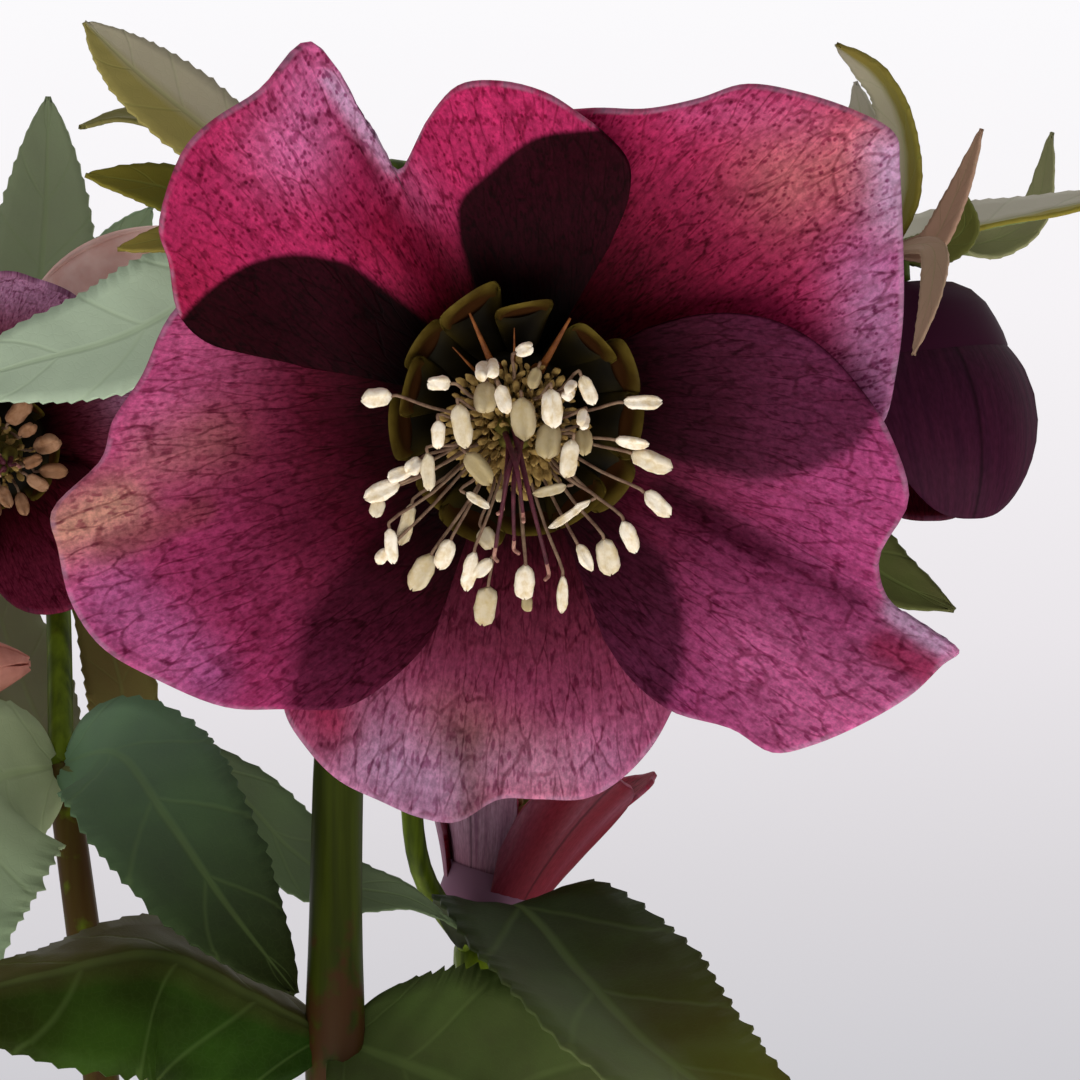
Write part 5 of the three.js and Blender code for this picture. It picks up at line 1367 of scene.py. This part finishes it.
# crumbs and chips lie on the top of the fill, clear of the wall of the pot
def soilNodes():
    group, node, given = newNodeGroup("compost crumbs", [
        ("Crumb Density", "Float", 100000.0), ("Chip Density", "Float", 10000.0),
        ("Clear Radius", "Float", 0.06), ("Seed", "Int", 1)])
    upward, spot = [node("ShaderNodeSeparateXYZ", {0: node(kind)}).outputs
                    for kind in ("InputNormal", "InputPosition")]
    flat = node("ShaderNodeCombineXYZ", {"X": spot["X"], "Y": spot["Y"]})
    out = node("ShaderNodeVectorMath", {0: flat}, operation="LENGTH")
    isUp = node("FunctionNodeCompare", {0: upward["Z"], 1: 0.5}, operation="GREATER_THAN")
    isIn = node("FunctionNodeCompare", {0: out, 1: given.outputs["Clear Radius"]}, operation="LESS_THAN")
    isTop = node("FunctionNodeBooleanMath", {0: isUp, 1: isIn}, operation="AND")
    parts = []
    for label, kind, sizes, low, high, skin, seedStep in (
            ("Crumb Density", "MeshIcoSphere", {"Radius": 1.0, "Subdivisions": 2}, (0.5, 0.5, 0.4),
             (1.7, 1.6, 1.2), crumbSkin, 0.0),
            ("Chip Density", "MeshCube", None, (1.6, 0.9, 0.4), (4.2, 2.2, 0.9), chipSkin, 3.0)):
        seed = node("ShaderNodeMath", {0: given.outputs["Seed"], 1: seedStep}, operation="ADD")
        spots = node("DistributePointsOnFaces", {
            "Mesh": given, "Selection": isTop, "Density": given.outputs[label], "Seed": seed})
        spin, size = [node("FunctionNodeRandomValue", {0: least, 1: most, "Seed": seed},
                           data_type="FLOAT_VECTOR")
                      for least, most in (((-0.5, -0.5, 0.0), (0.5, 0.5, 6.28)),
                                          (tuple(k * mm for k in low), tuple(k * mm for k in high)))]
        placed = node("InstanceOnPoints", {"Points": spots, "Instance": node(kind, sizes),
                                           "Rotation": spin, "Scale": size})
        real = node("RealizeInstances", {"Geometry": placed})
        parts.append(node("SetMaterial", {"Geometry": real, "Material": skin}))
    node("NodeGroupOutput", {0: node("JoinGeometry", {0: [*parts, given]})})
    return group


# the fill follows the wall of the pot inside and has a low mound on top
def soilFill():
    piece = newPiece()
    bottom = pot["floor"] + 0.3
    inside = lambda z: wallRadius(z) - pot["wall"] - 0.45
    edge = inside(soilTop)
    rings = [0.5, 6, 14, 22, 30, 38, 46, 54, 61, edge - 2, edge - 0.4]
    height = lambda r: soilTop + 5 * (1 - (r / edge) ** 2) + 0.4 * math.sin(r * 0.7)
    profile = [(0, bottom), (inside(bottom), bottom), (inside(64), 64), (edge, soilTop - 0.6)]
    profile += [(r, height(r)) for r in rings[::-1]] + [(0, height(0))]
    turnedPatch(piece, profile, 64, 0)
    return makeObject("compost", piece, [soilSkin])


area = math.pi * (soilSizes["clear"] * mm) ** 2
compost = applyNodeGroup("compost", soilFill(), soilNodes(), {
    "Crumb Density": soilSizes["crumbs"] / area, "Chip Density": soilSizes["chips"] / area,
    "Clear Radius": soilSizes["clear"] * mm, "Seed": soilSizes["seed"]})
finishPiece(compost, "soil", "soil")
print("compost:", len(compost.data.polygons), "faces")


# stage, light and camera

# a matt painted floor
floorPaint, node, _ = newMaterial("pale_floor")
surface = node("BsdfPrincipled", {"Base Color": "#e6e5e7", "Roughness": 0.7})
node("OutputMaterial", {"Surface": surface})
floorPiece = newPiece()
turnedPatch(floorPiece, [(0, -6), (2150, -6), (2200, -4), (2200, -0.5), (2195, 0), (0, 0)], 96, 0)
floor = makeObject("floor", floorPiece, [floorPaint])

# a pale backdrop that darkens a little downwards, with less light from behind the camera
backdrop = {"low": -0.13, "high": 0.13, "behind": 0.42, "shades": [
    (0.0, "#cccbd0"), (0.2, "#dad7db"), (0.42, "#eae6ea"), (0.7, "#f6f3f6"), (1.0, "#fcfbfd")]}
world = bpy.data.worlds.new("soft studio")
bpy.context.scene.world = world
world.use_nodes = True
world.node_tree.nodes.clear()
node = partial(addNode, world.node_tree)
way = node("SeparateXYZ", {0: node("TexCoord").outputs["Generated"]}).outputs
strength = node("MapRange", {0: way["Y"], 1: -0.6, 2: 0.8, 3: backdrop["behind"], 4: 1.0})
rise = node("MapRange", {0: way["Z"], 1: backdrop["low"], 2: backdrop["high"]})
tint = node("ValToRGB", {0: rise})
setStops(tint, [(at, srgb(shade)) for at, shade in backdrop["shades"]])
background = node("Background", {"Color": tint, "Strength": strength})
node("OutputWorld", {"Surface": background})

# a wide white reflector lies before the pot and sends its light up to the blooms
reflector = {"place": (0, -0.3, 0.012), "width": 1.0, "power": 7.8, "colour": "#fffcf9"}
lampData = bpy.data.lights.new("reflector", "AREA")
lampData.shape = "DISK"
lampData.size = reflector["width"]
lampData.energy = reflector["power"]
lampData.color = srgb(reflector["colour"])[:3]
lamp = addObject("reflector", lampData)
lamp.location = reflector["place"]
lamp.rotation_euler = (math.pi, 0, 0) # a lamp shines down until it is turned
lamp.visible_camera = False

view = {"place": (22.25, -450, 339.65), "lens": 148.1, "sensor": 36, "near": 0.01}
cameraData = bpy.data.cameras.new("camera")
cameraData.lens = view["lens"]
cameraData.sensor_width = view["sensor"]
cameraData.clip_start = view["near"]
camera = addObject("camera", cameraData)
camera.location = [k * mm for k in view["place"]]
camera.rotation_euler = (math.radians(90), 0, 0) # level, along Y
bpy.context.scene.camera = camera
bpy.context.scene.view_settings.view_transform = "Standard"
